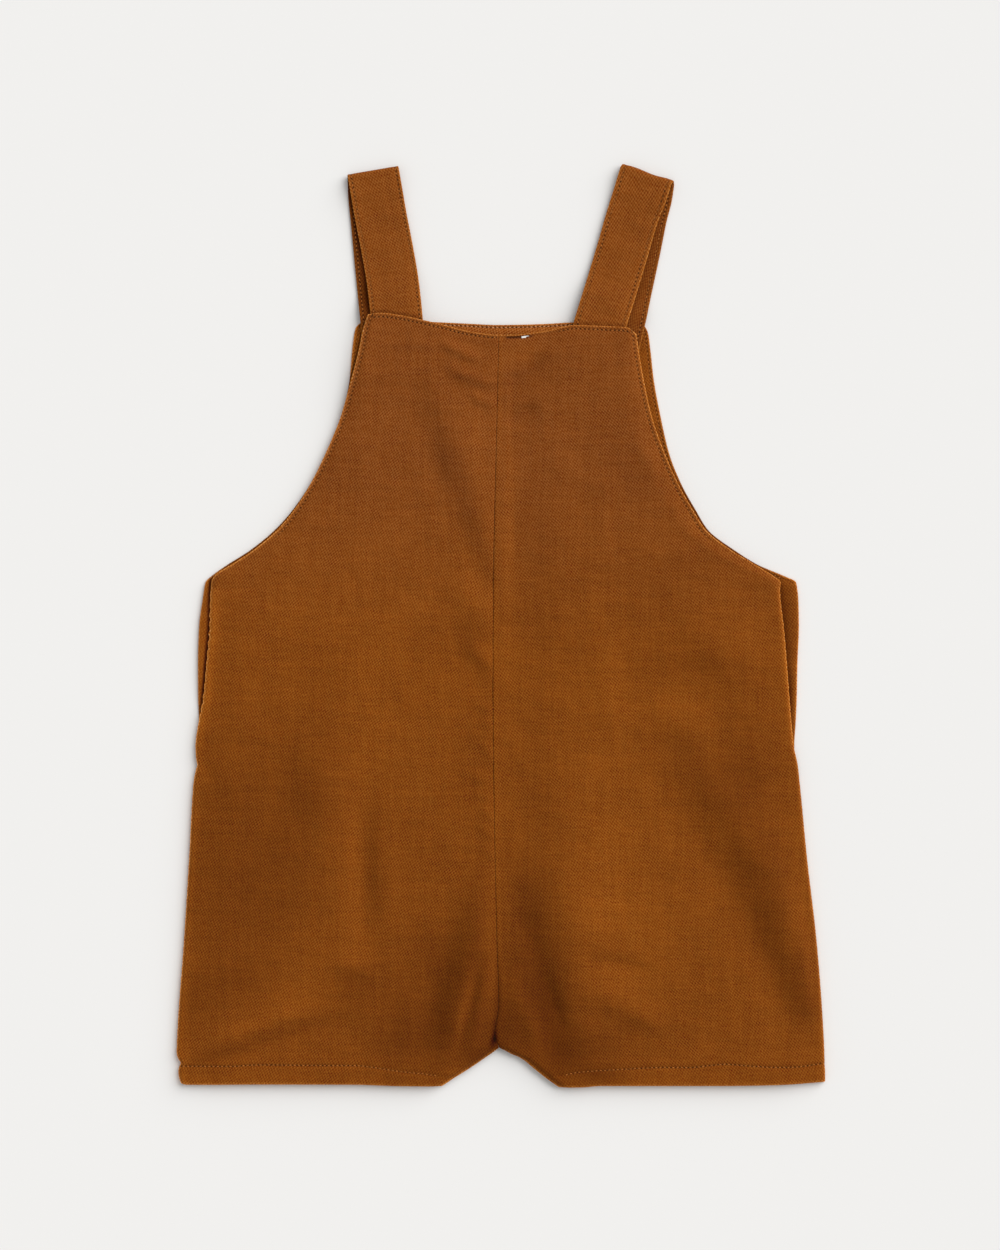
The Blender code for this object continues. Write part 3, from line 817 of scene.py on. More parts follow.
for side, sign in SIDES.items():
    # the way of a strap: up the back run, round the fold and down the front run
    shoulder = SHOULDER[side] - LOOP_RADIUS - STRAP_WALL / 2
    back_edge = float(read(NECKS, "across", "back", sign * BACK_CROSSING))
    bib_edge = float(read(NECKS, "across", "front", sign * FRONT_CROSSING))
    floor_z = STRAP_WALL / 2
    inside_back = FACING_FLOOR + FACING_WALL + TAIL_ROOM + STRAP_WALL / 2
    behind_bib = inside_back + STRAP_WALL + BIB_ROOM
    back_y = np.linspace(back_edge - BACK_TAIL, shoulder, 66)
    back_z = mix(inside_back, floor_z, ease((back_y - back_edge - 1.5) / BACK_CLIMB))
    turn = np.linspace(0, math.pi, 11)[1:-1]
    front_y = np.linspace(shoulder, bib_edge - FRONT_TAIL, 66)
    sag = RUN_SAG * ease((front_y - bib_edge) / 28.0) * ease((shoulder - front_y) / 22.0)
    lying = floor_z + 2 * LOOP_RADIUS - sag
    front_z = mix(behind_bib, lying, ease((front_y - back_edge - 6.0) / FRONT_CLIMB))
    run_y = np.concatenate((back_y, shoulder + LOOP_RADIUS * np.sin(turn), front_y))
    run_z = np.concatenate((back_z, floor_z + LOOP_RADIUS * (1 - np.cos(turn)), front_z))
    run_share = np.concatenate((0 * back_y, turn / math.pi, 1 + 0 * front_y))
    length = np.concatenate(([0.0], np.cumsum(np.hypot(np.diff(run_y), np.diff(run_z)))))
    slant = np.arctan(strap_slant(side, run_share, run_y))
    middle = strap_middle(side, run_share, run_y)
    flared = 1 + FOLD_FLARE[side] * ease((run_y - shoulder + 24.0) / 24)
    near_fold = ease((run_y - shoulder + 12.0) / 12)

    from_side = np.array([0.0, 0.12, 0.35, 0.8, 1.4, 1.9, 2.4, 2.9, 3.6, 4.6, 6.0, 8.0, 10.2, 12.3])
    across = np.concatenate((from_side - STRAP_WIDTH / 2, STRAP_WIDTH / 2 - from_side[::-1]))
    along = length[:, None]
    whole, inside, outside = FOLD_BULGE[side]
    bulge = whole + inside * bell(across + 6.5, 8.0) + outside * bell(across - 12.3, 7.5)
    x = sign * middle[:, None] + across * (flared * np.cos(slant))[:, None]
    y = run_y[:, None] - sign * across * (flared * np.sin(slant))[:, None]
    y += near_fold[:, None] * bulge
    free = ease((run_y - bib_edge - 4) / 20)[:, None] * ease((run_z - 1.6) / 1.5)[:, None]
    wave = np.sin(along / 6.3 + across / 9 + 1.3) + np.sin(along / 3.7 - across / 5)
    z = run_z[:, None] + STRAP_WAVE * wave * free

    from_edge = STRAP_WIDTH / 2 - np.abs(across) + 0 * x
    off_stitch = from_edge - STRAP_STITCH[side]
    wall = STRAP_WALL - STRAP_FURROW * bell(off_stitch, 0.55) - rounded_off(from_edge, 0.7, 0.5)
    wall += 0.05 * np.sin(along * 2 * math.pi / STITCH) * bell(off_stitch, 1.2)

    # painted shade on the back run where the front run shades it, and on the front run painted
    # light near its edges and a painted shadow above the bib's edge
    beside = np.abs(x) - read(STRAP_LINES, "height", f"front_{side}", y) - STRAP_WIDTH * 0.515
    if side == "left":
        shaded = -0.38 - 0.30 * bell(beside - 0.4, 1.3)
    else:
        shaded = -0.20 - 0.16 * bell(beside - 0.4, 2.0)
    front_run_shading = 0.07 * bell(from_edge - 3.0, 3.0)
    front_run_shading = front_run_shading - 0.42 * bell(y - read(NECKS, "across", "front", x) - 0.9, 0.8)
    facts = {
        "cut": triples(across, along, 0 * x),
        "rim": 0.85 * bell(from_edge, 0.6),
        "dye_and_painted_shading": painted_shading_colour(mix(shaded, front_run_shading, ease((run_share[:, None] - 0.3) / 0.5))),
        "needle_edge": triples(along / STITCH, off_stitch, 1.0),
    }
    strap_twill = twill(f"rust_twill_{side}_strap", STRAP_LEAN[side], STRAP_RUST)
    strap = cloth(f"{side}_strap", triples(x, y, z), wall, facts, strap_twill, stands=0.0)
    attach(strap, "root")
    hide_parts(f"strap_{side}")

    lines = []
    up = STRAP_WALL / 2 - THREAD_SINK
    normal_y = -np.gradient(run_z, length)
    normal_z = np.gradient(run_y, length)
    back_run = slice(None, len(back_y))
    front_run = slice(len(back_y) + 3, None)
    for edge in (-1.0, 1.0):
        stitched = edge * (STRAP_WIDTH / 2 - STRAP_STITCH[side])
        line_x = sign * middle + stitched * flared * np.cos(slant)
        line_y = run_y - sign * stitched * flared * np.sin(slant)
        line_y += near_fold * np.interp(stitched, across, bulge)
        lines.append(stitch_line(line_x[back_run], line_y[back_run], run_z[back_run] + up))
        raised_y = line_y - normal_y * up
        raised_z = run_z - normal_z * up
        lines.append(stitch_line(line_x[front_run], raised_y[front_run], raised_z[front_run]))
    strap_stitches = sew(f"{side}_strap_stitches", lines, outer_thread)


# ---- The fronts --------------------------------------------------------------------------
# Two fronts of the same twill, seamed down the centre and lying over all the rest. They are
# topstitched along the neck, armholes and hem, creased from the body, drawn in beside the
# centre seam, rolled at the sides and down to the backs at the crotch.

FRONT_WALL = 0.8
RIM_WALL = 1.1
FRONT_HEM_WALL = 2.2
FLOOR_ROOM = 0.12  # the front comes down no lower than this
SEAM_DITCH = 0.13  # how far the centre seam draws the cloth in
SEAM_REACH = 1.8  # and how far from it
INSEAM_DROP = 1.9  # how far the cloth comes down to the backs along the inner legs
INSEAM_REACH = 6.0  # over this width
INSEAM_RAMP = 9.0  # from this far above the crotch
SIDE_SLUMP = 1.2  # the body thins this much towards the sides
STRAP_LIFT = 1.15  # how far the strap ends lift the bib
STRAP_FADE = 20.0  # and how far beside them
FRONT_FURROW = 0.28
HEM_FURROW = 0.40
FRONT_EDGE_STITCH = 2.3
FRONT_EDGE_SEWN = {"left": (170.2, 48.0), "right": (161.8, 48.0)}  # from the top down
FRONT_NECK_SEWN = {"left": (2.4, 71.2), "right": (32.0, 70.4)}  # from the middle
NECK_NEEDLES = {"left": (2.0, 0.8), "right": (30.0, 4.0)}  # where they start, and their fade
HEM_SEWN = (35.0, 177.0)
FRONT_RIM = {"left": 0.80, "right": 0.55}  # how wide the edge is rubbed pale and painted with a highlight, wider on the shaded left

# The gap in the neckline's stitching: rows of the cloth counted from the neckline, and
# where the gap starts and ends across each
Slit = namedtuple("Slit", "row start end")
SLITS = {"left": (), "right": (Slit(7, 2.6, 15.6), Slit(8, 10.4, 13.6))}

# How a front's outer edge lies: it comes down from the crown over its reach, softly on an
# armhole (roll 0) and round a tight fold at the side (roll 1), to end at the lift.
Edge = namedtuple("Edge", "height reach roll lift crown")
EDGES = (
    Edge(172.0, 4.0, 0.0, 4.5, 5.2),
    Edge(146.0, 5.0, 0.0, 4.5, 5.2),
    Edge(128.0, 12.0, 0.0, 4.2, 4.9),
    Edge(108.0, 14.0, 0.0, 3.3, 4.7),
    Edge(36.0, 12.0, 0.0, 3.1, 4.7),
    Edge(27.0, 6.0, 0.6, 2.1, 4.6),
    Edge(18.0, 2.2, 1.0, 1.5, 4.5),
    Edge(-76.0, 2.2, 1.0, 1.5, 4.6),
    Edge(-86.0, 2.2, 1.0, 0.3, 4.6),
    Edge(-226.0, 2.2, 1.0, 0.3, 4.7),
    Edge(-242.0, 2.2, 1.0, 0.3, 4.9),
)

# Height of the hem's topstitching across the garment
HemStitch = namedtuple("HemStitch", "across height")
HEM_STITCHES = (
    HemStitch(-178.0, -241.6),
    HemStitch(-150.0, -241.6),
    HemStitch(-133.0, -240.8),
    HemStitch(-101.0, -241.1),
    HemStitch(-79.0, -241.2),
    HemStitch(-70.0, -242.2),
    HemStitch(-55.5, -244.4),
    HemStitch(-37.0, -246.4),
    HemStitch(-29.0, -248.2),
    HemStitch(33.0, -246.6),
    HemStitch(42.0, -244.9),
    HemStitch(65.0, -243.3),
    HemStitch(88.0, -242.2),
    HemStitch(104.0, -242.2),
    HemStitch(115.0, -241.1),
    HemStitch(123.0, -240.4),
    HemStitch(135.0, -241.3),
    HemStitch(154.0, -242.2),
    HemStitch(162.0, -242.0),
    HemStitch(178.0, -239.9),
)

# Creases: the line each follows, how far its middle bows to the left of its way, how far
# it rises or sinks, and how wide it is on its left and on its right
Crease = namedtuple("Crease", "x0 y0 x1 y1 bow rise left right")
CREASES = {
    "left": (
        # drawn in below the neckline
        Crease(-34.0, 156.5, -11.5, 147.5, -1.0, 1.35, 3.4, 2.8),
        Crease(-30.0, 142.5, -2.5, 133.5, -1.2, 1.55, 3.6, 3.0),
        Crease(-18.0, 128.0, -1.5, 121.5, -0.5, 1.10, 3.4, 3.0),
        Crease(-52.0, 160.0, -38.0, 154.0, 0.0, 0.25, 3.0, 3.0),
        # the long crease down to the seam
        Crease(-37.0, 138.0, -20.0, 86.0, -0.8, 1.75, 15.0, 9.0),
        Crease(-26.0, 106.0, -8.0, 52.0, 0.9, 1.40, 13.0, 10.0),
        Crease(-15.0, 66.0, -2.0, 30.0, 0.0, 1.10, 9.0, 7.5),
        Crease(-44.0, 122.0, -30.0, 78.0, 0.0, -0.50, 6.0, 10.0),
        Crease(-34.0, 100.0, -25.0, 76.0, 0.6, 0.50, 4.0, 5.0),
        Crease(-27.0, 27.0, -3.0, -1.0, 0.0, 1.55, 9.0, 9.0),
        Crease(-19.0, -9.0, -2.5, -24.5, 0.0, 1.35, 5.5, 5.0),
        # drawn in along the seam
        Crease(-15.0, -41.5, -4.0, -48.0, 0.5, 0.50, 3.0, 2.4),
        Crease(-10.0, -51.5, -3.5, -57.5, 0.3, 0.42, 2.8, 2.2),
        Crease(-13.0, -62.0, -3.5, -74.0, 0.5, 0.60, 3.6, 2.8),
        Crease(-20.0, -80.0, -5.0, -88.5, 0.8, 0.62, 3.8, 2.8),
        Crease(-16.0, -91.0, -4.0, -96.0, 0.4, 0.52, 2.8, 2.4),
        Crease(-12.0, -99.0, -3.5, -107.0, 0.4, 0.58, 3.2, 2.6),
        Crease(-13.0, -108.5, -4.0, -117.0, 0.4, 0.50, 3.0, 2.4),
        Crease(-10.0, -121.0, -3.5, -128.0, 0.3, 0.36, 2.8, 2.4),
        # the leg
        Crease(-93.0, -40.0, -90.0, -200.0, 0.0, 1.30, 10.0, 28.0),
        Crease(-76.0, -80.0, -73.0, -180.0, -1.5, -1.10, 9.0, 7.5),
        Crease(-101.0, -62.0, -96.0, -124.0, 0.0, 0.80, 6.0, 11.0),
        Crease(-67.0, -104.0, -66.0, -166.0, 0.0, 0.75, 10.0, 4.6),
        Crease(-96.0, -185.0, -68.0, -192.0, 1.0, 0.95, 5.0, 4.0),
        Crease(-164.0, -235.0, -104.0, -212.0, 3.0, 1.90, 9.0, 4.2),
        Crease(-88.0, -186.0, -60.0, -232.0, 0.0, 0.90, 11.0, 11.0),
        Crease(-150.0, -50.0, -120.0, -66.0, 0.0, 0.35, 7.0, 6.0),
        Crease(-128.0, 24.0, -96.0, 40.0, 2.0, 0.40, 8.0, 9.0),
        # gathered at the crotch
        Crease(-12.0, -140.0, -30.0, -238.0, 3.0, 2.80, 7.5, 8.5),
        Crease(-26.0, -150.0, -48.0, -236.0, 3.0, -1.40, 7.0, 10.0),
        Crease(-5.5, -176.0, -18.0, -236.0, 1.0, 1.50, 4.0, 4.0),
        Crease(-12.0, -182.0, -25.0, -234.0, 1.0, -0.80, 3.0, 4.0),
        # small notches on the side
        Crease(-168.0, -72.0, -158.0, -84.0, 0.0, -0.75, 3.0, 3.0),
    ),
    "right": (
        # drawn in below the neckline
        Crease(2.5, 129.5, 25.0, 150.0, 0.8, -1.75, 4.4, 4.6),
        Crease(1.5, 112.5, 21.0, 121.0, 0.5, -1.40, 3.2, 4.0),
        # the seam allowances under the cloth
        Crease(-1.0, 108.0, -2.6, -4.0, 0.0, 0.80, 6.5, 3.0),
        Crease(-4.0, 0.0, -3.5, -120.0, 0.0, 0.35, 5.5, 3.0),
        # soft folds down the bib
        Crease(56.5, 96.0, 57.0, 30.0, 0.0, 0.60, 7.0, 7.0),
        Crease(56.5, -8.0, 60.0, -68.0, 0.0, 0.80, 8.0, 7.0),
        Crease(30.0, 110.0, 31.0, 70.0, 0.0, 0.30, 7.0, 7.0),
        Crease(70.0, 106.0, 94.0, 84.0, 0.0, 0.75, 7.0, 6.0),
        Crease(78.0, 68.0, 112.0, 62.0, 0.0, 0.40, 5.0, 5.0),
        Crease(76.0, 40.0, 108.0, 36.0, 0.0, 0.45, 8.0, 6.0),
        Crease(19.0, 46.0, 32.0, 14.0, 0.0, 0.60, 13.0, 8.0),
        Crease(4.0, -8.0, 22.0, 2.0, 0.0, -0.45, 5.0, 6.0),
        # slanting from the hip
        Crease(92.0, 12.0, 142.0, -38.0, 0.0, 1.40, 17.0, 11.0),
        Crease(82.0, -45.0, 116.0, -60.0, 0.0, 0.95, 10.0, 8.0),
        Crease(115.0, -70.0, 137.0, -76.0, 0.0, 0.35, 3.0, 2.6),
        # the leg
        Crease(36.0, -66.0, 40.0, -172.0, 0.0, 0.90, 32.0, 15.0),
        Crease(100.0, -74.0, 148.0, -136.0, 3.0, 2.35, 15.0, 12.0),
        Crease(140.0, -118.0, 171.0, -220.0, 5.0, 2.45, 10.0, 12.0),
        Crease(98.0, -104.0, 132.0, -158.0, 3.0, -1.35, 10.0, 14.0),
        Crease(128.0, -150.0, 158.0, -228.0, 5.0, -1.40, 9.0, 13.0),
        Crease(44.0, -183.0, 84.0, -190.0, 1.0, -1.45, 4.2, 8.0),
        Crease(50.0, -203.0, 90.0, -221.0, 1.0, 1.45, 9.0, 5.6),
        # gathered at the crotch
        Crease(34.0, -130.0, 47.0, -238.0, 2.0, 2.30, 18.0, 13.0),
        Crease(6.0, -192.0, 24.0, -234.0, -1.0, 0.95, 3.4, 4.0),
        Crease(10.0, -150.0, 30.0, -236.0, 2.0, -1.70, 8.0, 7.0),
        Crease(24.0, -190.0, 35.0, -224.0, 0.0, -0.85, 3.6, 3.4),
    ),
}


def crease_rise(side, x, y):
    """What the creases add at a point. Each fades at both ends."""
    total = 0 * x
    for crease in CREASES[side]:
        dx, dy = crease.x1 - crease.x0, crease.y1 - crease.y0
        length = math.hypot(dx, dy)
        along = ((x - crease.x0) * dx + (y - crease.y0) * dy) / length**2
        off = ((y - crease.y0) * dx - (x - crease.x0) * dy) / length
        off = off - crease.bow * (1 - (2 * np.clip(along, 0, 1) - 1) ** 2)
        ends = ease((along + 0.15) / 0.5) * ease((1.15 - along) / 0.5)
        width = np.where(off > 0, crease.left, crease.right)
        total = total + crease.rise * ends * bell(off, width)
    return total


def strap_rise(side, x, y):
    """How far the bib lifts over the strap ends behind it."""
    middle = read(STRAP_LINES, "height", f"front_{side}", y)
    beside = np.abs(np.abs(x) - middle - 2.0) - STRAP_WIDTH / 2 - 1.0
    tail_end = read(NECKS, "across", "back", SIDES[side] * middle) - BACK_TAIL
    below = tail_end - 2.0 - y
    return STRAP_LIFT * (1 - ease(beside / STRAP_FADE)) * (1 - ease(below / STRAP_FADE / 2))


def side_ripple(side, y):
    """The seam's small scallops down the side, where its stitches draw the cloth in."""
    pulled = y + 0.9 * np.sin(y / 9.0)
    ripple = (0.30 + 0.12 * np.sin(y / 7.3 + 2.0)) * np.sin(2 * math.pi * pulled / 5.6)
    ripple = ripple * ease((24.0 - y) / 8) * mix(0.25, 1.0, ease((y + 52.0) / 12))
    if side == "right":
        return 0.4 * ripple + 0.9 * bell(y - 24.6, 2.2)
    return ripple - 0.7 * bell(y + 76.0, 1.6) - 0.8 * bell(y + 240.0, 1.5)


# Soft patches of painted shade in the folds and painted light between them: the
# middle, the spread, how far the patch leans across as it rises, and its strength
Patch = namedtuple("Patch", "x y wide tall lean strength")
PATCHES = (
    # the bib
    Patch(-28.0, 88.0, 8.5, 20.0, -0.34, -0.11),
    Patch(-20.0, 62.0, 8.0, 17.0, -0.34, -0.09),
    Patch(-11.0, 40.0, 6.0, 14.0, -0.40, -0.07),
    Patch(-12.0, 88.0, 6.0, 36.0, -0.10, 0.08),
    Patch(4.5, 58.0, 3.4, 52.0, 0.0, 0.13),
    Patch(20.0, 56.0, 14.0, 42.0, 0.0, -0.08),
    Patch(10.0, 138.0, 7.0, 8.0, 1.40, -0.12),
    Patch(10.0, 150.0, 16.0, 4.5, 0.0, 0.12),
    Patch(8.0, 115.0, 6.0, 3.0, 2.00, -0.10),
    Patch(-18.0, 137.0, 9.0, 2.4, -2.60, -0.10),
    Patch(-50.0, 153.0, 17.0, 2.4, 0.0, -0.10),
    Patch(-68.0, 106.0, 20.0, 34.0, 0.20, 0.04),
    Patch(72.0, 82.0, 10.0, 14.0, -0.50, -0.08),
    Patch(-20.0, 40.0, 10.0, 22.0, -0.30, 0.12),
    # the body
    Patch(-110.0, 6.0, 48.0, 30.0, 0.0, 0.05),
    Patch(-16.0, -12.0, 7.0, 20.0, -0.46, -0.13),
    Patch(-46.0, -40.0, 26.0, 56.0, 0.0, 0.05),
    Patch(82.0, 20.0, 34.0, 20.0, 0.0, -0.08),
    Patch(55.0, -14.0, 7.0, 30.0, 0.0, 0.10),
    Patch(30.0, -8.0, 22.0, 9.0, 0.0, -0.08),
    Patch(106.0, -21.0, 28.0, 9.0, -1.0, -0.15),
    Patch(76.0, -44.0, 30.0, 9.0, -0.6, 0.10),
    Patch(22.0, -84.0, 12.0, 60.0, 0.0, -0.06),
    Patch(58.0, 16.0, 18.0, 9.0, 0.0, 0.12),
    Patch(-74.0, -60.0, 7.0, 45.0, 0.0, 0.09),
    Patch(-136.0, -18.0, 26.0, 36.0, 0.0, 0.07),
    Patch(134.0, -74.0, 14.0, 34.0, 0.0, -0.15),
    Patch(-70.0, -18.0, 18.0, 20.0, 0.0, 0.08),
    Patch(-10.0, 14.0, 22.0, 8.0, 0.0, 0.07),
    # the left leg
    Patch(-140.0, -130.0, 50.0, 74.0, 0.0, -0.15),
    Patch(-152.0, -92.0, 22.0, 7.0, 0.0, -0.06),
    Patch(-118.0, -162.0, 26.0, 18.0, 0.0, -0.06),
    Patch(-104.0, -90.0, 17.0, 26.0, 0.20, -0.13),
    Patch(-143.0, -140.0, 28.0, 24.0, 0.0, -0.08),
    Patch(-158.0, -206.0, 18.0, 14.0, 0.0, -0.10),
    Patch(-79.0, -118.0, 4.6, 34.0, -0.04, 0.09),
    Patch(-70.0, -134.0, 7.0, 30.0, -0.03, -0.11),
    Patch(-82.0, -193.0, 17.0, 9.0, 0.0, -0.18),
    Patch(-112.0, -196.0, 24.0, 20.0, 1.60, 0.11),
    Patch(-138.0, -218.0, 12.0, 13.0, 2.60, 0.13),
    Patch(-132.0, -227.5, 11.0, 12.0, 2.75, -0.24),
    Patch(-143.0, -194.0, 24.0, 11.0, 0.0, -0.17),
    Patch(-134.0, -224.0, 18.0, 7.0, 0.0, 0.12),
    Patch(-106.0, -168.0, 15.0, 14.0, 0.0, 0.12),
    Patch(-38.0, -178.0, 9.0, 16.0, 0.0, -0.14),
    Patch(-57.0, -225.0, 13.0, 18.0, 0.0, -0.18),
    Patch(-50.0, -208.0, 24.0, 36.0, 0.16, -0.18),
    Patch(-84.0, -222.0, 18.0, 16.0, 0.0, -0.06),
    Patch(-171.0, -204.0, 9.0, 16.0, 0.0, -0.12),
    Patch(-78.0, -200.0, 14.0, 14.0, 0.0, -0.08),
    # the right leg
    Patch(60.0, -122.0, 22.0, 58.0, -0.05, 0.16),
    Patch(68.0, -172.0, 24.0, 22.0, 0.0, 0.09),
    Patch(102.0, -72.0, 15.0, 20.0, -1.0, -0.13),
    Patch(130.0, -128.0, 13.0, 32.0, -0.40, -0.16),
    Patch(155.0, -188.0, 11.0, 36.0, -0.42, -0.18),
    Patch(132.0, -86.0, 32.0, 24.0, 0.0, -0.11),
    Patch(68.0, -213.0, 20.0, 10.0, -1.20, -0.22),
    Patch(60.0, -236.0, 24.0, 9.0, 0.0, -0.10),
    Patch(150.0, -128.0, 11.0, 26.0, -0.30, -0.20),
    Patch(119.0, -114.0, 7.0, 12.0, -0.30, 0.17),
    Patch(168.0, -186.0, 8.0, 20.0, 0.0, -0.14),
    Patch(56.0, -178.0, 14.0, 9.0, 0.0, -0.13),
    Patch(76.0, -212.0, 14.0, 6.0, 0.0, 0.17),
    Patch(53.0, -226.0, 15.0, 9.0, 0.0, -0.18),
    Patch(56.0, -247.0, 12.0, 6.0, 0.0, -0.30),
    Patch(144.0, -160.0, 20.0, 18.0, 0.0, -0.09),
    Patch(171.0, -209.0, 8.0, 10.0, 0.0, -0.14),
    Patch(15.0, -150.0, 9.0, 36.0, 0.0, -0.09),
    # the crotch
    Patch(-26.0, -206.0, 15.0, 42.0, 0.24, -0.29),
    Patch(23.5, -197.0, 13.5, 48.0, -0.26, -0.34),
    Patch(0.0, -224.0, 24.0, 18.0, 0.0, -0.22),
    Patch(-19.5, -208.0, 3.0, 22.0, 0.22, 0.15),
    Patch(11.5, -212.0, 3.2, 22.0, -0.42, 0.16),
    Patch(-4.2, -228.0, 2.0, 5.0, 0.25, -0.45),
    Patch(-14.0, -216.0, 20.0, 32.0, 0.20, -0.09),
    Patch(16.0, -221.0, 20.0, 36.0, -0.20, -0.19),
    Patch(22.0, -140.0, 11.0, 26.0, -0.10, -0.08),
    Patch(34.0, -238.0, 22.0, 12.0, 0.0, -0.14),
    Patch(-13.0, -172.0, 6.0, 40.0, 0.0, -0.18),
    Patch(4.0, -196.0, 8.0, 26.0, 0.0, -0.11),
    Patch(-24.0, -212.0, 6.0, 14.0, 0.0, 0.12),
    Patch(-13.0, -237.0, 9.0, 6.0, 0.0, -0.22),
)
SANDY = (0.03, 0.07, 1.45)  # how much sandier the bib is than the legs


def fold_shading(x, y):
    """How much painted shade or light a point of a front gets from its patches."""
    total = 0 * x
    for patch in PATCHES:
        up = y - patch.y
        beside = x - patch.x - patch.lean * up
        total = total + patch.strength * bell(beside, patch.wide) * bell(up, patch.tall)
    return total


def front_colour_and_shading(side, x, y, at):
    """The front's colour: painted shade and light from its patches, painted highlights along its
    sides, edges and seam, painted shade in a gap and at the crotch seam, and the sandier bib.
    """
    painted_shading = fold_shading(x, y)
    armhole = ease((y - 40.0) / 14)
    below = ease((24.0 - y) / 6)
    if side == "left":
        # painted highlights along the armhole and the side, which face away from the light
        painted_shading += 0.05 * bell(at.edge, 7.0) * armhole + 0.35 * bell(at.edge, 0.6)
        painted_shading += (0.30 * bell(at.edge, 3.2) + 0.75 * bell(at.edge, 0.6)) * below
        painted_shading += 0.20 * bell(at.edge - 2.6, 3.6) * below * ease((y + 76.0) / 30)
    else:
        # painted light along the armhole and the side
        painted_shading += 0.10 * bell(at.edge, 5.0) * armhole + 0.06 * bell(at.edge, 4.0) * below
        painted_shading += 0.20 * bell(at.edge - 0.6, 2.4) * below * ease((y + 76.0) / 20)
        # painted light on the seam's upper side, and painted shade in the gap in the neckline
        painted_shading += 0.17 * bell(at.seam - 1.0, 1.6) * ease((y + 200.0) / 40)
        gap = ease((x - 1.9) / 1.6) * ease((18.4 - x) / 1.6)
        painted_shading -= 0.65 * bell(at.neck - 1.9, 0.50) * gap
    # painted highlights along the hem and the inner leg, and painted shade along the seam where
    # it sinks to the crotch
    painted_shading += 0.35 * bell(at.hem, 0.7) + 0.45 * bell(at.leg, 0.8)
    painted_shading -= 0.22 * bell(at.seam, 1.4) * ease((-140.0 - y) / 70)
    sandy = ease((y + 30.0) / 140) * (1 - bell(at.edge, 0.9)) * (1 - bell(at.neck, 0.8))
    return painted_shading_colour(painted_shading) + sandy[..., None] * np.array(SANDY)


def neck_stitch_depth(x):
    """How far the neckline's topstitching is below it."""
    return mix(2.2, 1.65, bell(x - 3.0, 30.0))


def on_armhole(y):
    """1 beside the armhole and 0 on the side below it."""
    return ease((y - UNDERARM) / 8)


def front_height(side, x, y):
    """The height of the front's upper face."""
    at = room("front", side, x, y)
    top = read(EDGES, "height", "crown", y)
    body = ease(at.edge / 9.0) * ease(at.hem / 9.0) * ease((at.neck - 1.0) / 8.0)
    top = top + crease_rise(side, x, y) * body
    above = ease((y - CROTCH + INSEAM_RAMP) / INSEAM_RAMP)
    top -= (SEAM_DITCH * bell(at.seam, SEAM_REACH) + 0.1 * bell(at.seam, 0.7)) * above
    inseam = ease((CROTCH + INSEAM_RAMP - y) / INSEAM_RAMP / 2)
    top -= INSEAM_DROP * inseam * (1 - ease(at.seam / INSEAM_REACH))
    reach = read(EDGES, "height", "reach", y)
    t = np.clip(np.abs(outer_edge("front", side, y) - x) / reach, 0, 1)
    climb = mix(ease(t), np.sqrt(1 - (1 - t) ** 2), read(EDGES, "height", "roll", y))
    top -= SIDE_SLUMP * (1 - ease(at.edge / 26.0)) * ease((UNDERARM - y) / 16)
    z = mix(read(EDGES, "height", "lift", y), top, climb) + strap_rise(side, x, y)
    z -= FRONT_FURROW * bell(at.edge - FRONT_EDGE_STITCH, 0.6) * ease((y - 44.0) / 8)
    z -= FRONT_FURROW * bell(at.neck - neck_stitch_depth(x), 0.6)
    z -= HEM_FURROW * bell(y - read(HEM_STITCHES, "across", "height", x), 0.75)
    z -= rounded_off(at.neck, 0.6, 0.5) + rounded_off(at.hem, 1.1, 1.0)
    z -= rounded_off(at.edge, 0.6, 0.5) * on_armhole(y)
    return np.maximum(z - rounded_off(at.seam, 0.4, 0.18), FLOOR_ROOM)


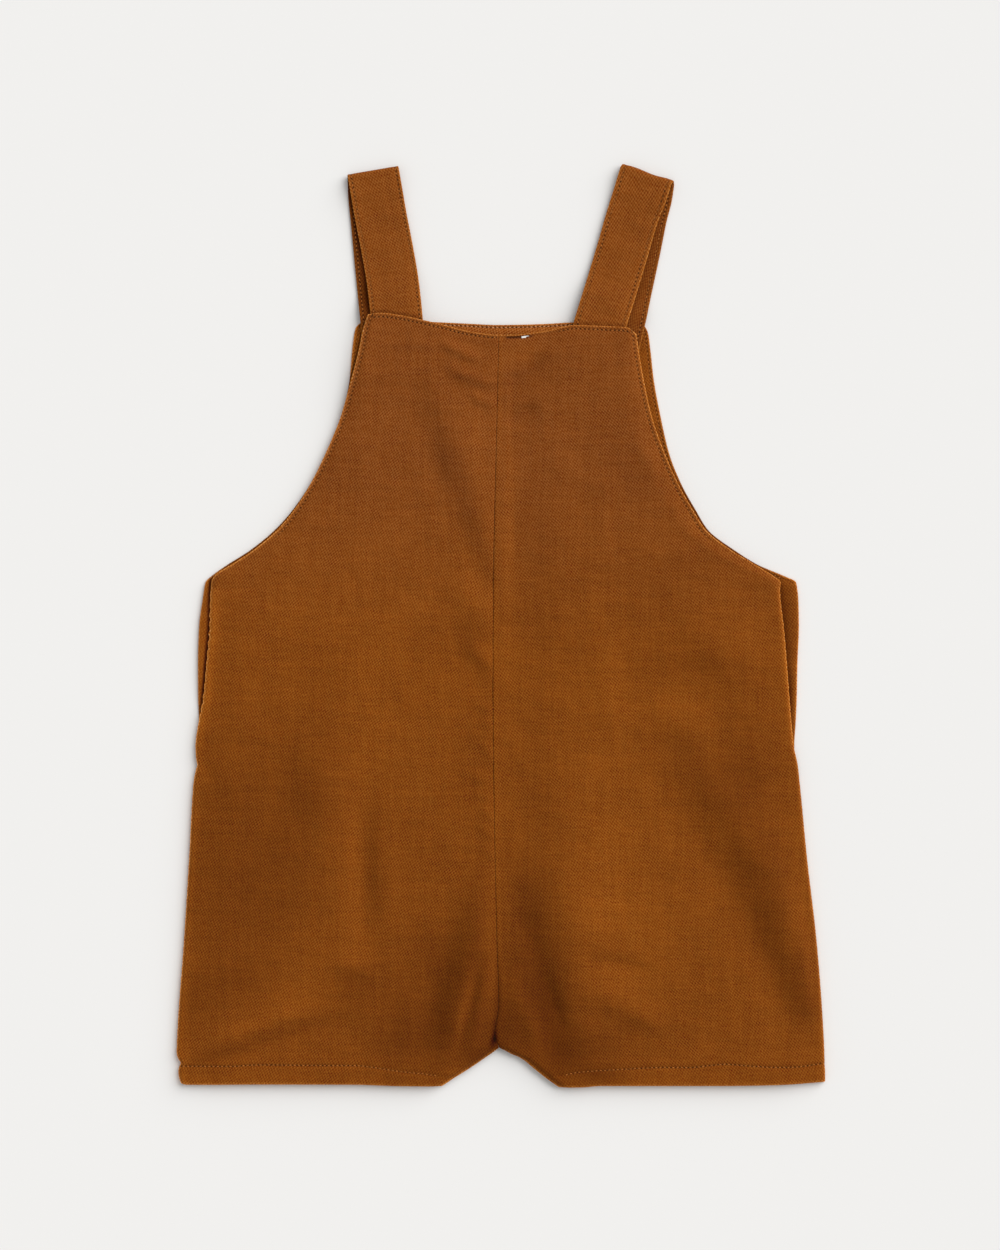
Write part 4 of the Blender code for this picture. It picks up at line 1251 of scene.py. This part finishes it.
for side, sign in SIDES.items():
    near_hem = np.array([0.0, 0.15, 0.45, 0.9, 1.5, 2.3, 3.2, 4.2])
    near_top = np.array([0.0, 0.12, 0.32, 0.6, 0.95, 1.35, 2.0, 2.75, 3.2, 3.8, 4.6])
    levels = np.concatenate((
        HEM + near_hem,
        even(-246.8, -238.0, 0.8),
        even(-238.0, 162.6, 1.65),
        NECK_TOP - near_top[::-1],
    ))
    near_seam = np.array([0.0, 0.15, 0.4, 0.8, 1.4, 2.1, 3.0, 4.2, 5.6])
    near_edge = np.array([0.0, 0.06, 0.22, 0.5, 0.9, 1.35, 1.8, 2.3, 2.8, 3.4, 4.4, 5.8])
    x, y = lay_out("front", side, levels, near_seam, near_edge, 1.65)
    z = front_height(side, x, y)
    at = room("front", side, x, y)
    x = x + sign * side_ripple(side, y) * (1 - ease(at.edge / 5.0))

    # the wall is thicker at the hem and the turned edges, and thinner down to the floor
    above_stitches = y - read(HEM_STITCHES, "across", "height", x)
    wall = hem_wall(FRONT_WALL, FRONT_HEM_WALL, -above_stitches, at)
    turned_in = RIM_WALL - FRONT_WALL
    wall += turned_in * ease(3.0 - at.neck)
    wall = np.maximum(wall, FRONT_WALL + turned_in * ease(3.0 - at.edge) * on_armhole(y))
    wall = np.minimum(wall, z - 0.05) * mix(0.1, 1.0, ease((at.edge + at.hem) / 1.5))

    neck_x = np.arange(*FRONT_NECK_SEWN[side], 0.6) * sign
    hem_x = np.arange(*HEM_SEWN, 0.7) * sign
    sewn = (
        along_edge("front", side, FRONT_EDGE_STITCH, *FRONT_EDGE_SEWN[side]),
        (neck_x, read(NECKS, "across", "front", neck_x) - neck_stitch_depth(neck_x)),
        (hem_x, read(HEM_STITCHES, "across", "height", hem_x)),
    )
    bead = 0.10  # how far a thread's middle is above the bottom of its furrow
    lines = [stitch_line(*place, front_height(side, *place) + bead) for place in sewn]
    start, fade = NECK_NEEDLES[side]
    from_middle = np.abs(x)
    edge_needles = 0.75 * ease((y - 46.0) / 6)
    neck_needles = ease((sign * x - start) / fade)
    hem_needles = ease((from_middle - 34.0) / 4) * mix(0.5, 0.9, ease((from_middle - 50.0) / 40))
    rim = bell(at.edge, FRONT_RIM[side]) + 0.9 * bell(at.neck, 0.55)
    rim += 0.85 * bell(at.hem, 0.9) + 0.9 * bell(at.leg, 0.7)
    facts = {
        "cut": triples(x, y, 0.0),
        "rim": np.minimum(rim, 1.0),
        "needle_edge": needle(lines[0], 1, y, at.edge - FRONT_EDGE_STITCH, edge_needles),
        "needle_neck": needle(lines[1], 0, x, at.neck - neck_stitch_depth(x), neck_needles),
        "needle_hem": needle(lines[2], 0, x, above_stitches, hem_needles),
        "dye_and_painted_shading": front_colour_and_shading(side, x, y, at),
    }
    slits = [
        (len(levels) - slit.row, column)
        for slit in SLITS[side]
        for column in range(x.shape[1] - 1)
        if slit.start < x[-1, column] < slit.end
    ]
    front_twill = twill(f"rust_twill_{side}_front", RIB_LEAN[side])
    front = cloth(f"{side}_front", triples(x, y, z), wall, facts, front_twill, slits=slits)
    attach(front, "root")
    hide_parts(f"front_{side}")
    front_stitches = sew(f"{side}_front_stitches", lines, outer_thread)


# ---- The floor, the light and the camera -------------------------------------------------
# The overalls lie on a plain pale floor in soft light from the upper right, seen from
# straight above.

FLOOR_SIZE = 12.0  # in metres, like the rest of this section
FLOOR_DROP = 0.0004  # clear of the cloth that lies on it
PALE = (0.805, 0.797, 0.782, 1.0)
EYE = (-0.0005, 0.00094, 1.626)

pale_floor, _, shader = new_material("pale_floor", 1.0, 0.0)
shader.inputs["Base Color"].default_value = PALE
floor_shape = bmesh.new()
bmesh.ops.create_grid(floor_shape, x_segments=1, y_segments=1, size=FLOOR_SIZE)
bmesh.ops.translate(floor_shape, verts=floor_shape.verts, vec=(0.0, 0.0, -FLOOR_DROP))
floor = finished("floor", floor_shape, pale_floor)

key = bpy.data.lights.new("soft_key", "SUN")
key.energy = 3.20
key.angle = math.radians(58)
key_lamp = bpy.data.objects.new("soft_key", key)
key_lamp.rotation_euler = (0.0, math.radians(57), math.radians(38))
bpy.context.scene.collection.objects.link(key_lamp)

world = bpy.data.worlds.new("studio")
world.use_nodes = True
world.node_tree.nodes["Background"].inputs["Color"].default_value = (1.0, 1.0, 1.0, 1.0)
world.node_tree.nodes["Background"].inputs["Strength"].default_value = 0.54
bpy.context.scene.world = world
bpy.context.scene.view_settings.view_transform = "Standard"

lens = bpy.data.cameras.new("camera")
lens.lens = 85.0
lens.sensor_width = 36.0
camera = bpy.data.objects.new("camera", lens)
camera.location = EYE
bpy.context.scene.collection.objects.link(camera)
bpy.context.scene.camera = camera
